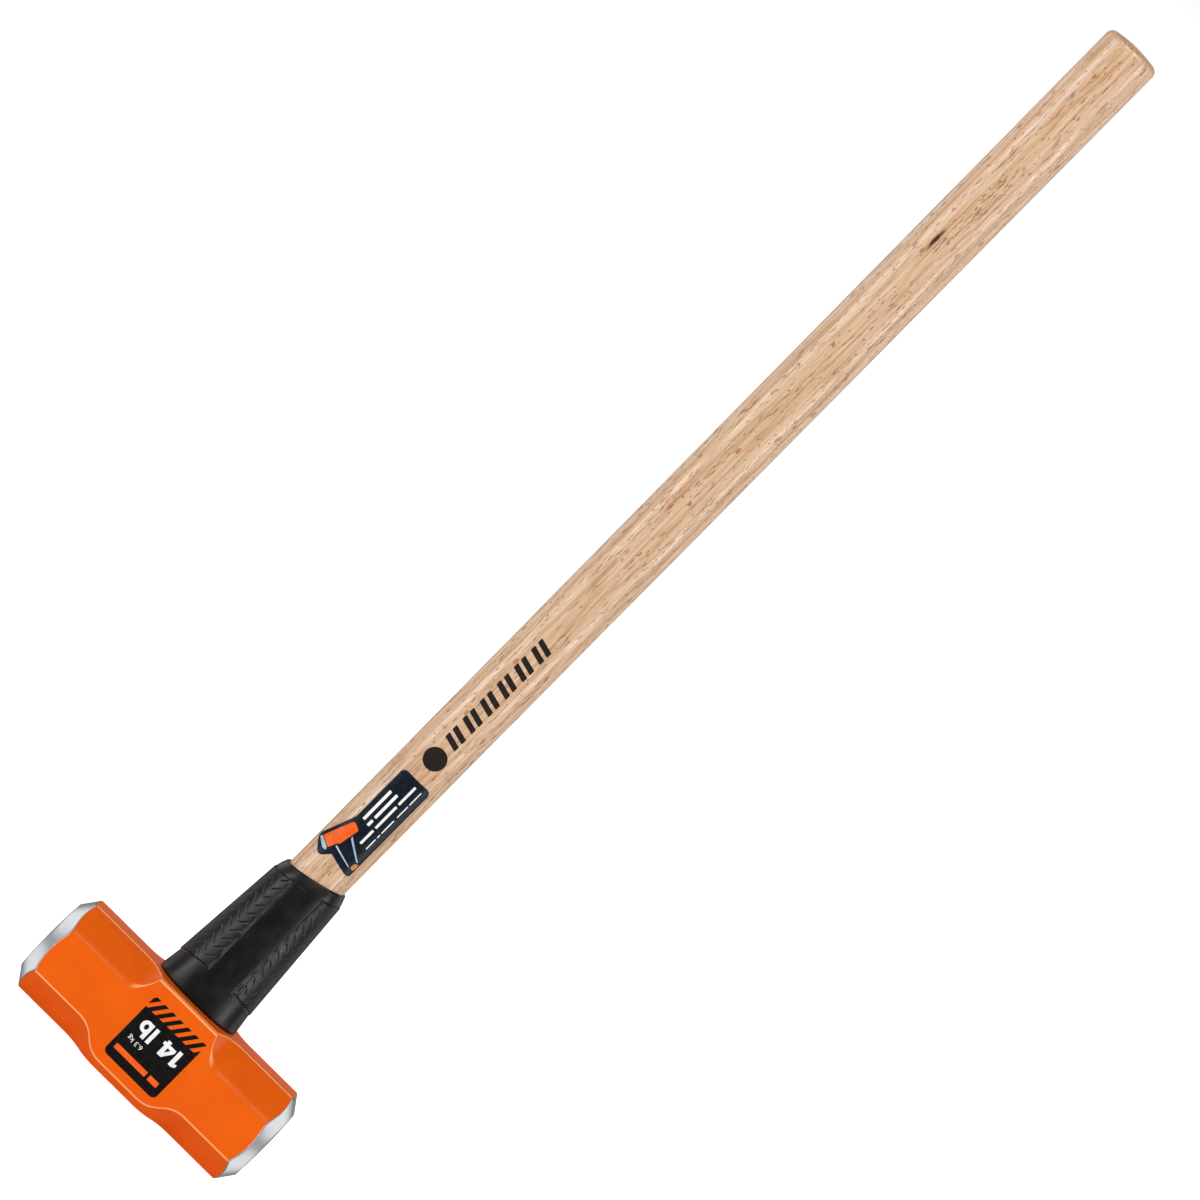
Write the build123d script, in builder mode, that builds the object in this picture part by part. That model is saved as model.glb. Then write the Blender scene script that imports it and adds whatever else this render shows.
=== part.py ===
from build123d import *
from math import cos, hypot, pi, sin
import os

# Long-handled sledgehammer: a 14 lb forged head, a hardwood handle and a rubber collar.
# Millimetres. The hammer stands on its head: +Z runs up the handle, the head lies along X,
# and the labelled front of the tool faces -Y. The origin is the middle of the head's
# bottom flat, which is the face that the hammer rests on.

# Whole tool
OVERALL_LENGTH = 914.4  # 36 in, from the head's bottom flat to the top of the butt
OVAL_POWER = 2.35  # a superellipse's exponent: 2 is an ellipse, more is flatter-sided
OVAL_POINTS = 24

# Head: a forged square bar with its four long edges cut back
HEAD_LENGTH = 192.0
HEAD_WIDTH = 72.4
HALF = HEAD_WIDTH / 2
CHAMFER_HEIGHT = 19.0  # leg of the long chamfers on the front and back flats
CHAMFER_DEPTH = 23.0  # leg of the same chamfers on the top and bottom flats
EYE_CHAMFER_SHARE = 0.33  # the lower chamfers shrink to this share beside the eye
RUNOUT_START = 17.0  # where a small lower chamfer starts to grow, from the eye's centre
RUNOUT_END = 46.0  # where it has its full size
UPPER_RUNOUT_END = 44.0  # where the upper chamfers have their full size
UPPER_RUNOUT_RADIUS = 20.0  # the arc on which they rise to nothing beside the eye
EDGE_RADIUS = 1.6
FACE_RADIUS = 26.5  # striking face
FACE_CROWN = 1.0
BEVEL_SLOPE = 1.38  # the end bevel's radial run for each millimetre along the head
CONE_RADIUS = 60.0  # radius out to which the bevel's cone is turned, past the corners

# Eye, waisted so that the wedged tenon can't pull through: (height, half width, half depth)
EYE_MOUTH = (0.0, 19.4, 14.6)
EYE_WAIST = (40.0, 17.6, 12.9)
EYE_TOP = (HEAD_WIDTH, 18.4, 13.8)

# Handle above the head: (height, half width, half depth)
TENON_RECESS = 0.8  # the tenon's end lies this far inside the eye's mouth
SHOULDER = (96.0, 19.4, 15.4)
SHAFT_LOW = (190.0, 19.5, 15.5)
SHAFT_STRAIGHT_TOP = (280.0, 19.5, 15.5)  # straight below this, where the label lies
SHAFT_MIDDLE = (550.0, 19.6, 15.6)
SHAFT_BUTT = (OVERALL_LENGTH, 19.95, 15.95)
BUTT_DOME_RADIUS = 84.0
BUTT_EDGE_RADIUS = 5.0
BUTT_TURNED_RADIUS = 30.0  # radius out to which the dome is turned, past the oval's sides

# Wedges, driven up into the tenon from below
WOOD_WEDGE_THICKNESS = 5.6
WOOD_WEDGE_TIP = 1.0
WOOD_WEDGE_TOP = 56.0
STEEL_WEDGE_THICKNESS = 4.2
STEEL_WEDGE_TIP = 0.6
STEEL_WEDGE_TOP = 34.0
STEEL_WEDGE_WIDTH = 19.0
STEEL_WEDGE_X = 8.5  # distance of each steel wedge from the eye's centre
STEEL_WEDGE_SKEW = 18.0  # degrees off square to the wooden wedge

# Shock collar: (height, half width, half depth) of its plain outside
COLLAR_BASE = (HEAD_WIDTH, 32.4, 22.6)
COLLAR_NECK = (88.0, 30.2, 21.4)
COLLAR_HIGH = (196.0, 22.0, 18.2)
RIM_HEIGHT = 181.3  # the rim's height on the handle's axis
PANEL_TOP_HEIGHT = 173.5
RIM_SLANT = 10.5  # degrees, higher on the +X side
RIM_RADIUS = 3.0
PANEL_RISE = 0.7  # the side panels stand this proud of the plain rubber
PANEL_BASE_HEIGHT = 95.2  # the panels' lower edge, at the front groove
PANEL_BASE_DROP = 7.4  # how far that edge falls towards the sides
CENTRE_STRIP_LEFT = -9.2
CENTRE_STRIP_RIGHT = 13.4
PANEL_FOOT = (82.0, 31.05, 21.86)  # the panels are cut off above this, at their lower edge

# Head label, on the front flat beside the eye
HEAD_LABEL_THICKNESS = 0.15
LABEL_LEFT = -20.0
LABEL_RIGHT = 24.7
LABEL_BOTTOM = 13.4
LABEL_TOP = 52.8
LABEL_CORNER = 3.6
STRIPE_TOP = 61.8
STRIPE_COUNT = 8
STRIPE_PITCH = 6.7
STRIPE_WIDTH = 3.4
STRIPE_START = -25.2
STRIPE_LEAN = 6.7  # how far a stripe leans to +X over its height

# Handle label, wrapped on the front of the shaft above the collar
HANDLE_LABEL_THICKNESS = 0.15
TAG_LEFT = -9.8
TAG_RIGHT = 13.8
TAG_TOP = 272.5
TAG_CORNER = 2.6
TAG_SHOULDER = (TAG_LEFT, 229.2)  # where the text block ends and the picture starts
TAG_FACE_TOP = (-19.2, 203.6)  # the pictured hammer's striking face
TAG_FACE_BOTTOM = (-10.4, 193.6)
TAG_NOTCH = (-4.2, 201.0)
TAG_BOTTOM = (TAG_RIGHT, 196.4)
TAG_FACETS = 96  # the film is bent in this many flats round the whole oval
TAG_CLEARANCE = 0.02  # keeps those flats outside the smooth handle

# Clear of the part, for shapes that cut or trim it
CLEAR = 10.0
PAST_END = HEAD_LENGTH / 2 + CLEAR


def oval_points(half_width, half_depth, count):
    """Points of a superellipse: each angle's cosine and sine, raised to 2/power."""
    points = []
    for step in range(count):
        angle = 2 * pi * (step + 0.5) / count
        along = abs(cos(angle)) ** (2 / OVAL_POWER) * (1 if cos(angle) > 0 else -1)
        across = abs(sin(angle)) ** (2 / OVAL_POWER) * (1 if sin(angle) > 0 else -1)
        points.append((half_width * along, half_depth * across))
    return points


def ovals(*stations, grow=0.0):
    """Level oval faces at stations (height, half width, half depth), each grown by some mm."""
    faces = []
    for height, half_width, half_depth in stations:
        corners = oval_points(half_width + grow, half_depth + grow, OVAL_POINTS)
        with BuildSketch(Plane.XY.offset(height)) as section:
            with BuildLine():
                Spline(*corners, periodic=True)
            make_face()
        faces.append(section.sketch.face())
    return faces


def faceted_oval(station, grow):
    """A level oval at a station, with flats that follow the curve of the smooth one."""
    height, half_width, half_depth = station
    smooth = ovals((0, half_width + grow, half_depth + grow))[0].edges()[0]
    with BuildSketch(Plane.XY.offset(height)) as section:
        with BuildLine():
            Polyline(*[smooth @ (step / TAG_FACETS) for step in range(TAG_FACETS)], close=True)
        make_face()
    return section.sketch


def lower_runout(full):
    """Half of a lower cutter's edge: a small chamfer, then two equal arcs to its full size."""
    small = full * EYE_CHAMFER_SHARE
    middle = ((RUNOUT_START + RUNOUT_END) / 2, -(full + small) / 2)
    Line((0, -small), (RUNOUT_START, -small))
    TangentArc((RUNOUT_START, -small), middle, tangent=(1, 0))
    TangentArc((RUNOUT_END, -full), middle, tangent=(-1, 0))
    Polyline(
        (RUNOUT_END, -full),
        (PAST_END, -full),
        (PAST_END, CLEAR),
        (0, CLEAR),
        (0, -small),
    )


def upper_runout(full):
    """Half of an upper cutter's edge: nothing beside the eye, then one arc to its full size."""
    above_axis = UPPER_RUNOUT_RADIUS - full
    reach = (UPPER_RUNOUT_RADIUS**2 - above_axis**2) ** 0.5
    start = (UPPER_RUNOUT_END - reach, 0)
    TangentArc((UPPER_RUNOUT_END, -full), start, tangent=(-1, 0))
    Polyline(
        (UPPER_RUNOUT_END, -full),
        (PAST_END, -full),
        (PAST_END, CLEAR),
        (start[0], CLEAR),
        start,
    )


def cutter_face(side_y, side_z):
    """The profile that cuts one long edge of the head back, on a plane square to its chamfer."""
    diagonal = hypot(CHAMFER_HEIGHT, CHAMFER_DEPTH)
    full = CHAMFER_HEIGHT * CHAMFER_DEPTH / diagonal
    outward_y = side_y * CHAMFER_HEIGHT / diagonal
    outward_z = side_z * CHAMFER_DEPTH / diagonal
    plane = Plane(
        origin=(0, side_y * HALF, side_z * HALF + HALF),
        x_dir=(1, 0, 0),
        z_dir=(0, -outward_z, outward_y),
    )
    with BuildSketch(plane) as profile:
        with BuildLine():
            if side_z < 0:
                lower_runout(full)
            else:
                upper_runout(full)
        make_face()
        mirror(about=Plane.YZ)
    return profile.sketch


def is_long_edge(edge):
    """True for the edges that run along the head between its flats and its chamfers."""
    return edge.bounding_box().size.X > EDGE_RADIUS


os.makedirs("parts", exist_ok=True)

# ---------------------------------------------------------------- head
face_edge_x = HEAD_LENGTH / 2 - FACE_CROWN
crown_radius = (FACE_RADIUS**2 + FACE_CROWN**2) / (2 * FACE_CROWN)
cone_foot_x = face_edge_x - (CONE_RADIUS - FACE_RADIUS) / BEVEL_SLOPE

with BuildPart() as turned_ends:
    # crowned faces and conical end bevels, turned about the head's long axis
    with BuildSketch(Plane.XZ):
        with BuildLine():
            Line((-HEAD_LENGTH / 2, HALF), (HEAD_LENGTH / 2, HALF))
            RadiusArc(
                (HEAD_LENGTH / 2, HALF), (face_edge_x, HALF + FACE_RADIUS), -crown_radius
            )
            Polyline(
                (face_edge_x, HALF + FACE_RADIUS),
                (cone_foot_x, HALF + CONE_RADIUS),
                (-cone_foot_x, HALF + CONE_RADIUS),
                (-face_edge_x, HALF + FACE_RADIUS),
            )
            RadiusArc(
                (-face_edge_x, HALF + FACE_RADIUS), (-HEAD_LENGTH / 2, HALF), -crown_radius
            )
        make_face()
    revolve(axis=Axis((0, 0, HALF), (1, 0, 0)))

with BuildPart() as head:
    with BuildSketch(Plane.YZ.offset(-HEAD_LENGTH / 2)):
        with Locations((0, HALF)):
            Rectangle(HEAD_WIDTH, HEAD_WIDTH)
    extrude(amount=HEAD_LENGTH)
    for side_y in (-1, 1):
        for side_z in (-1, 1):
            extrude(cutter_face(side_y, side_z), amount=HALF, both=True, mode=Mode.SUBTRACT)
    fillet(head.edges().filter_by(is_long_edge), radius=EDGE_RADIUS)
    add(turned_ends.part, mode=Mode.INTERSECT)
    loft(ovals(EYE_MOUTH, EYE_WAIST, EYE_TOP), mode=Mode.SUBTRACT)
head.part.label = "head"

# ---------------------------------------------------------------- wedges, before trimming
with BuildPart() as wood_blank:
    with BuildSketch(Plane.YZ):
        with BuildLine():
            Polyline(
                (-WOOD_WEDGE_THICKNESS / 2, TENON_RECESS),
                (WOOD_WEDGE_THICKNESS / 2, TENON_RECESS),
                (WOOD_WEDGE_TIP / 2, WOOD_WEDGE_TOP),
                (-WOOD_WEDGE_TIP / 2, WOOD_WEDGE_TOP),
                close=True,
            )
        make_face()
    extrude(amount=HALF, both=True)

steel_blanks = {}
for name, side in (("steel_wedge_left", -1), ("steel_wedge_right", 1)):
    wedge_plane = Plane.XZ.rotated((0, 0, STEEL_WEDGE_SKEW))
    wedge_plane.origin = (side * STEEL_WEDGE_X, 0, 0)
    with BuildPart() as steel_blank:
        with BuildSketch(wedge_plane):
            with BuildLine():
                Polyline(
                    (-STEEL_WEDGE_THICKNESS / 2, TENON_RECESS),
                    (STEEL_WEDGE_THICKNESS / 2, TENON_RECESS),
                    (STEEL_WEDGE_TIP / 2, STEEL_WEDGE_TOP),
                    (-STEEL_WEDGE_TIP / 2, STEEL_WEDGE_TOP),
                    close=True,
                )
            make_face()
        extrude(amount=STEEL_WEDGE_WIDTH / 2, both=True)
    steel_blank.part.label = name
    steel_blanks[name] = steel_blank.part

# ---------------------------------------------------------------- handle
with BuildPart() as tenon:
    loft(ovals(EYE_MOUTH, EYE_WAIST, EYE_TOP))
    with BuildSketch(Plane.XY):
        Rectangle(HEAD_WIDTH, HEAD_WIDTH)
    extrude(amount=TENON_RECESS, mode=Mode.SUBTRACT)

with BuildPart() as shaft_shape:
    loft(ovals(EYE_TOP, SHOULDER))
    loft(ovals(SHOULDER, SHAFT_LOW))
    extrude(ovals(SHAFT_LOW)[0], amount=SHAFT_STRAIGHT_TOP[0] - SHAFT_LOW[0])
    loft(ovals(SHAFT_STRAIGHT_TOP, SHAFT_MIDDLE, SHAFT_BUTT))

dome_drop = BUTT_DOME_RADIUS - (BUTT_DOME_RADIUS**2 - BUTT_TURNED_RADIUS**2) ** 0.5
dome_edge_z = OVERALL_LENGTH - dome_drop

with BuildPart() as handle:
    add(shaft_shape.part)
    # domed butt
    with BuildSketch(Plane.XZ):
        with BuildLine():
            RadiusArc((0, OVERALL_LENGTH), (BUTT_TURNED_RADIUS, dome_edge_z), BUTT_DOME_RADIUS)
            Polyline(
                (BUTT_TURNED_RADIUS, dome_edge_z),
                (BUTT_TURNED_RADIUS, OVERALL_LENGTH + CLEAR),
                (0, OVERALL_LENGTH + CLEAR),
                (0, OVERALL_LENGTH),
            )
        make_face()
    revolve(axis=Axis.Z, mode=Mode.SUBTRACT)
    butt_face = handle.faces().sort_by(Axis.Z)[-1]
    fillet(butt_face.edges(), radius=BUTT_EDGE_RADIUS)
    add(tenon.part)
    add(wood_blank.part, mode=Mode.SUBTRACT)
    for steel_blank_part in steel_blanks.values():
        add(steel_blank_part, mode=Mode.SUBTRACT)
handle.part.label = "handle"

with BuildPart() as wooden_wedge:
    add(wood_blank.part)
    add(tenon.part, mode=Mode.INTERSECT)
    for steel_blank_part in steel_blanks.values():
        add(steel_blank_part, mode=Mode.SUBTRACT)
wooden_wedge.part.label = "wooden_wedge"

# ---------------------------------------------------------------- shock collar
slanted_rim = Plane.XY.offset(RIM_HEIGHT).rotated((0, -RIM_SLANT, 0))
slanted_panel_top = Plane.XY.offset(PANEL_TOP_HEIGHT).rotated((0, -RIM_SLANT, 0))
panel_side_base = PANEL_BASE_HEIGHT - PANEL_BASE_DROP
neck_depth = COLLAR_NECK[2]

with BuildPart() as panels:
    loft(ovals(PANEL_FOOT, COLLAR_NECK, grow=PANEL_RISE))
    loft(ovals(COLLAR_NECK, COLLAR_HIGH, grow=PANEL_RISE))
    split(bisect_by=slanted_panel_top, keep=Keep.BOTTOM)
    # the lower edge falls from the front and back grooves to the sides
    with BuildSketch(Plane.YZ):
        with BuildLine():
            Polyline(
                (0, panel_side_base),
                (neck_depth, PANEL_BASE_HEIGHT),
                (neck_depth + CLEAR, PANEL_BASE_HEIGHT),
                (neck_depth + CLEAR, 0),
                (-neck_depth - CLEAR, 0),
                (-neck_depth - CLEAR, PANEL_BASE_HEIGHT),
                (-neck_depth, PANEL_BASE_HEIGHT),
                close=True,
            )
        make_face()
    extrude(amount=2 * HALF, both=True, mode=Mode.SUBTRACT)
    # the smooth centre strip between the two grooves, front and back
    with BuildSketch(Plane.XY):
        with Locations(((CENTRE_STRIP_LEFT + CENTRE_STRIP_RIGHT) / 2, 0)):
            Rectangle(CENTRE_STRIP_RIGHT - CENTRE_STRIP_LEFT, 4 * HALF)
    extrude(amount=OVERALL_LENGTH, mode=Mode.SUBTRACT)

with BuildPart() as shock_collar:
    loft(ovals(COLLAR_BASE, COLLAR_NECK))
    loft(ovals(COLLAR_NECK, COLLAR_HIGH))
    split(bisect_by=slanted_rim, keep=Keep.BOTTOM)
    rim_face = shock_collar.faces().sort_by(Axis.Z)[-1]
    fillet(rim_face.edges(), radius=RIM_RADIUS)
    add(panels.part)
    add(shaft_shape.part, mode=Mode.SUBTRACT)
shock_collar.part.label = "shock_collar"

# ---------------------------------------------------------------- labels
front_flat = Plane(origin=(0, -HALF, 0), x_dir=(1, 0, 0), z_dir=(0, -1, 0))

with BuildPart() as head_label:
    with BuildSketch(front_flat):
        with Locations(((LABEL_LEFT + LABEL_RIGHT) / 2, (LABEL_BOTTOM + LABEL_TOP) / 2)):
            panel = Rectangle(LABEL_RIGHT - LABEL_LEFT, LABEL_TOP - LABEL_BOTTOM)
        fillet(panel.vertices().group_by(Axis.Y)[0], radius=LABEL_CORNER)
    extrude(amount=HEAD_LABEL_THICKNESS)
    with BuildSketch(front_flat):
        for index in range(STRIPE_COUNT):
            left = STRIPE_START + index * STRIPE_PITCH
            with BuildLine():
                Polyline(
                    (left, LABEL_TOP),
                    (left + STRIPE_WIDTH, LABEL_TOP),
                    (left + STRIPE_WIDTH + STRIPE_LEAN, STRIPE_TOP),
                    (left + STRIPE_LEAN, STRIPE_TOP),
                    close=True,
                )
            make_face()
        with Locations(((LABEL_LEFT + LABEL_RIGHT) / 2, (LABEL_TOP + STRIPE_TOP) / 2)):
            Rectangle(LABEL_RIGHT - LABEL_LEFT, STRIPE_TOP - LABEL_TOP, mode=Mode.INTERSECT)
    extrude(amount=HEAD_LABEL_THICKNESS)
head_label.part.label = "head_label"

with BuildPart() as handle_label:
    straight = SHAFT_STRAIGHT_TOP[0] - SHAFT_LOW[0]
    extrude(faceted_oval(SHAFT_LOW, TAG_CLEARANCE + HANDLE_LABEL_THICKNESS), amount=straight)
    extrude(faceted_oval(SHAFT_LOW, TAG_CLEARANCE), amount=straight, mode=Mode.SUBTRACT)
    # die-cut outline: a block of text with the picture of a tilted hammer below it
    with BuildSketch(Plane.XZ):
        with BuildLine():
            FilletPolyline(
                (TAG_RIGHT, TAG_TOP),
                (TAG_LEFT, TAG_TOP),
                TAG_SHOULDER,
                TAG_FACE_TOP,
                TAG_FACE_BOTTOM,
                TAG_NOTCH,
                TAG_BOTTOM,
                radius=TAG_CORNER,
                close=True,
            )
        make_face()
    extrude(amount=2 * HALF, mode=Mode.INTERSECT)
handle_label.part.label = "handle_label"

# ---------------------------------------------------------------- export
export_step(head.part, "parts/head.step")
export_step(handle.part, "parts/handle.step")
export_step(wooden_wedge.part, "parts/wooden_wedge.step")
for name, part in steel_blanks.items():
    export_step(part, f"parts/{name}.step")
export_step(shock_collar.part, "parts/shock_collar.step")
export_step(head_label.part, "parts/head_label.step")
export_step(handle_label.part, "parts/handle_label.step")
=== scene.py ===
"""Visual model of a long-handled sledgehammer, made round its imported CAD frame.

The hammer stands on its head: +Z runs up the handle, the head lies along X and the
labelled front faces -Y. Sizes in the classes are millimetres, and meshes are metres.
"""

import logging
import math
from dataclasses import dataclass
from enum import Enum
from typing import Any, Callable, Sequence

import bmesh
import bpy
import numpy as np
from mathutils import Matrix, Vector


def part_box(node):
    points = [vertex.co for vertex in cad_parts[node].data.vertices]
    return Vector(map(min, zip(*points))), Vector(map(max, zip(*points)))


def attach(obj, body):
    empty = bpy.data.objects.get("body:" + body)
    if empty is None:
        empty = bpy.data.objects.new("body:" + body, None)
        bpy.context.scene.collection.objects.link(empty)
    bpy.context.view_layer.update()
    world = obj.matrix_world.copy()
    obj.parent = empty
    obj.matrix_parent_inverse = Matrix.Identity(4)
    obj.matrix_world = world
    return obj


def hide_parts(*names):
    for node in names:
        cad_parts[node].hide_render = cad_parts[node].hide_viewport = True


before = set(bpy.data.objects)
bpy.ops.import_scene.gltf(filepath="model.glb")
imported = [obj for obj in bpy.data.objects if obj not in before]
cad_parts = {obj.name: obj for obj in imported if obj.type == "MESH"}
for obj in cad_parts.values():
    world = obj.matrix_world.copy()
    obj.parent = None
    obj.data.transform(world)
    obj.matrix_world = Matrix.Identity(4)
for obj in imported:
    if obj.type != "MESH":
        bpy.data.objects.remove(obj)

log = logging.getLogger("sledgehammer")

MM = 0.001
BODY = "root"
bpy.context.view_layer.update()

# Edges over this angle stay sharp.
SHARP_ANGLE = math.radians(30.0)
# Points closer than this are one, in millimetres: on finished shapes, and on curves.
MERGE_DISTANCE = 0.02
CURVE_MERGE_DISTANCE = 0.0001
# Where the first slicing plane stands, as a share of a slice, to miss round numbers.
SLICE_OFFSET = 0.37
# Height of a figure in the plain font, as a share of its size.
CAP_HEIGHT = 0.73
# Sockets of a Mix node that mixes colours.
MIX_FACTOR, MIX_FIRST, MIX_SECOND, MIX_RESULT = 0, 6, 7, 2

Points = np.ndarray
Colour = tuple[float, float, float, float]
Triple = tuple[float, float, float]
Material = bpy.types.Material
Tree = bpy.types.NodeTree
Piece = bpy.types.Object
FlatMesh = bmesh.types.BMesh
Socket = tuple[bpy.types.Node, int | str]
Surface = Callable[[Points, Points, float], Points]


# ------------------------------------------------------------------ shared helpers


def linear(hex_colour: str) -> Colour:
    """Turns an sRGB hex colour into linear RGBA.

    Args:
        hex_colour: Six hex digits, such as "F06010".

    Returns:
        Red, green, blue and alpha, linear, from 0 to 1.
    """
    parts = [int(hex_colour[i : i + 2], 16) / 255 for i in (0, 2, 4)]
    red, green, blue = (c / 12.92 if c <= 0.04045 else ((c + 0.055) / 1.055) ** 2.4 for c in parts)
    return (red, green, blue, 1.0)


def smoothstep(low: float, high: float, value: Points) -> Points:
    """Rises from 0 at low to 1 at high along 3t^2 - 2t^3."""
    t = np.clip((value - low) / (high - low), 0.0, 1.0)
    return t * t * (3.0 - 2.0 * t)


def add_node(tree: Tree, kind: str, inputs: dict | None = None, **settings: Any) -> bpy.types.Node:
    """Adds a shader node with its settings, and fills or links its sockets.

    Args:
        tree: The material's node tree.
        kind: The node's type name, without "ShaderNode".
        inputs: Socket name or index to a value, or to a (node, output) pair to link.
        **settings: The node's own properties.

    Returns:
        The new node.
    """
    node = tree.nodes.new("ShaderNode" + kind)
    for name, value in settings.items():
        setattr(node, name, value)
    for socket, value in (inputs or {}).items():
        if isinstance(value, tuple) and isinstance(value[0], bpy.types.Node):
            tree.links.new(value[0].outputs[value[1]], node.inputs[socket])
        else:
            node.inputs[socket].default_value = value
    return node


def new_material(name: str) -> tuple[Material, Tree]:
    """Makes an empty node material.

    Args:
        name: The material's name.

    Returns:
        The material and its node tree.
    """
    material = bpy.data.materials.new(name)
    material.use_nodes = True
    material.node_tree.nodes.clear()
    return material, material.node_tree


def finish_material(tree: Tree, **inputs: Any) -> None:
    """Adds the Principled shader and the output.

    Args:
        tree: The material's node tree.
        **inputs: Principled sockets, with underscores for spaces, to values or links.
    """
    sockets = {name.replace("_", " "): value for name, value in inputs.items()}
    shader = add_node(tree, "BsdfPrincipled", sockets)
    add_node(tree, "OutputMaterial", {"Surface": (shader, "BSDF")})


def object_coords(tree: Tree, scale: float | Sequence[float], turn: Sequence[float] = (0, 0, 0)) -> Socket:
    """Object coordinates, scaled so that one unit is one feature of a pattern.

    Args:
        tree: The material's node tree.
        scale: Feature size in millimetres, one number or one each for X, Y and Z.
        turn: Rotation in degrees.

    Returns:
        The (node, output) pair to link.
    """
    coords = add_node(tree, "TexCoord")
    per_metre = tuple(1.0 / (size * MM) for size in np.broadcast_to(scale, 3))
    angles = tuple(math.radians(angle) for angle in turn)
    mapping = add_node(
        tree, "Mapping", {"Vector": (coords, "Object"), "Rotation": angles, "Scale": per_metre}
    )
    return (mapping, "Vector")


def noise(tree: Tree, vector: Socket, detail: float, rough: float = 0.5) -> Socket:
    """Fractal noise with one lump to each unit of its vector."""
    inputs = {"Vector": vector, "Scale": 1.0, "Detail": detail, "Roughness": rough}
    return (add_node(tree, "TexNoise", inputs), "Fac")


def lumps(tree: Tree, size: float | Sequence[float], detail: float, rough: float = 0.5) -> Socket:
    """Fractal noise in object space, with lumps of a size in millimetres."""
    return noise(tree, object_coords(tree, size), detail, rough)


def ramp(tree: Tree, value: Socket, stops: Sequence[tuple[float, str]]) -> Socket:
    """A colour ramp over a value.

    Args:
        tree: The material's node tree.
        value: What it reads.
        stops: Positions and hex colours.

    Returns:
        The (node, output) pair of the colour.
    """
    node = add_node(tree, "ValToRGB", {"Fac": value})
    elements = node.color_ramp.elements
    while len(elements) < len(stops):
        elements.new(0.5)
    for element, (position, colour) in zip(elements, stops):
        element.position = position
        element.color = linear(colour)
    return (node, "Color")


def fade(tree: Tree, value: Socket, low: float, high: float, out: Sequence[float] = (0, 1)) -> Socket:
    """Maps a value smoothly to another range.

    Args:
        tree: The material's node tree.
        value: What it reads.
        low: The value that gives the first end of the range.
        high: The value that gives the second end.
        out: The two ends of the range.

    Returns:
        The (node, output) pair of the mapped value.
    """
    node = add_node(
        tree,
        "MapRange",
        {"Value": value, "From Min": low, "From Max": high, "To Min": out[0], "To Max": out[1]},
        interpolation_type="SMOOTHSTEP",
    )
    return (node, "Result")


def blend_colour(tree: Tree, factor: Any, first: Any, second: Any) -> Socket:
    """Mixes two colours.

    Args:
        tree: The material's node tree.
        factor: Share of the second colour, a number or a link.
        first: Hex colour or link at a factor of 0.
        second: Hex colour or link at a factor of 1.

    Returns:
        The (node, output) pair of the colour.
    """
    pair = [linear(c) if isinstance(c, str) else c for c in (first, second)]
    inputs = {MIX_FACTOR: factor, MIX_FIRST: pair[0], MIX_SECOND: pair[1]}
    return (add_node(tree, "Mix", inputs, data_type="RGBA"), MIX_RESULT)


def maths(tree: Tree, operation: str, first: Any, second: Any = 0.0) -> Socket:
    """A Math node on two numbers or links, as a (node, output) pair."""
    return (add_node(tree, "Math", {0: first, 1: second}, operation=operation), 0)


def length_of(tree: Tree, vector: Socket) -> Socket:
    """The length of a vector, as a (node, output) pair."""
    return (add_node(tree, "VectorMath", {0: vector}, operation="LENGTH"), "Value")


def flat_vector(tree: Tree, x: Socket, y: Any = 0.0) -> Socket:
    """A vector with no Z, as a (node, output) pair."""
    return (add_node(tree, "CombineXYZ", {"X": x, "Y": y}), 0)


def bump(tree: Tree, height: Socket, depth: float, below: Socket | None = None) -> Socket:
    """A bump of a real depth.

    Args:
        tree: The material's node tree.
        height: The (node, output) pair of the height, from 0 to 1.
        depth: Height of the bump in millimetres.
        below: A bump to add this one to.

    Returns:
        The (node, output) pair of the new normal.
    """
    inputs = {"Height": height, "Distance": depth * MM, "Strength": 1.0}
    if below:
        inputs["Normal"] = below
    return (add_node(tree, "Bump", inputs), "Normal")


def grid_faces(rows: int, columns: int) -> Points:
    """Quads over a grid that closes on itself across its columns.

    Args:
        rows: Number of rings of points.
        columns: Points in each ring.

    Returns:
        An array of four indices to a face, wound so that rings that climb along a
        right-handed turn face outwards.
    """
    row = np.arange(rows - 1)[:, None] * columns
    column = np.arange(columns)[None, :]
    following = (column + 1) % columns
    corners = (row + column, row + following, row + columns + following, row + columns + column)
    return np.stack(corners, axis=-1).reshape(-1, 4)


def fan_faces(ring_start: int, columns: int, pole: int, upwards: bool) -> Points:
    """Triangles that close a ring of points with one point at its middle.

    Args:
        ring_start: Index of the ring's first point.
        columns: Points in the ring.
        pole: Index of the middle point.
        upwards: Whether the fan closes the end that the rings climb to.

    Returns:
        An array of three indices to a face.
    """
    column = np.arange(columns)
    following = (column + 1) % columns
    first, second = (column, following) if upwards else (following, column)
    return np.stack([ring_start + first, ring_start + second, np.full(columns, pole)], axis=-1)


def capped_loft(rows: Points, low_pole: Triple, high_pole: Triple) -> tuple[Points, list]:
    """Joins rings of points into a closed skin.

    Args:
        rows: Array of shape (rings, columns, 3).
        low_pole: The point that closes the first ring.
        high_pole: The point that closes the last ring.

    Returns:
        The points, and the faces: quads ring by ring, then the low fan and the high one.
    """
    count, columns = rows.shape[:2]
    points = np.concatenate([rows.reshape(-1, 3), [low_pole, high_pole]])
    low = fan_faces(0, columns, len(points) - 2, upwards=False)
    high = fan_faces((count - 1) * columns, columns, len(points) - 1, upwards=True)
    return points, grid_faces(count, columns).tolist() + low.tolist() + high.tolist()


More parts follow.
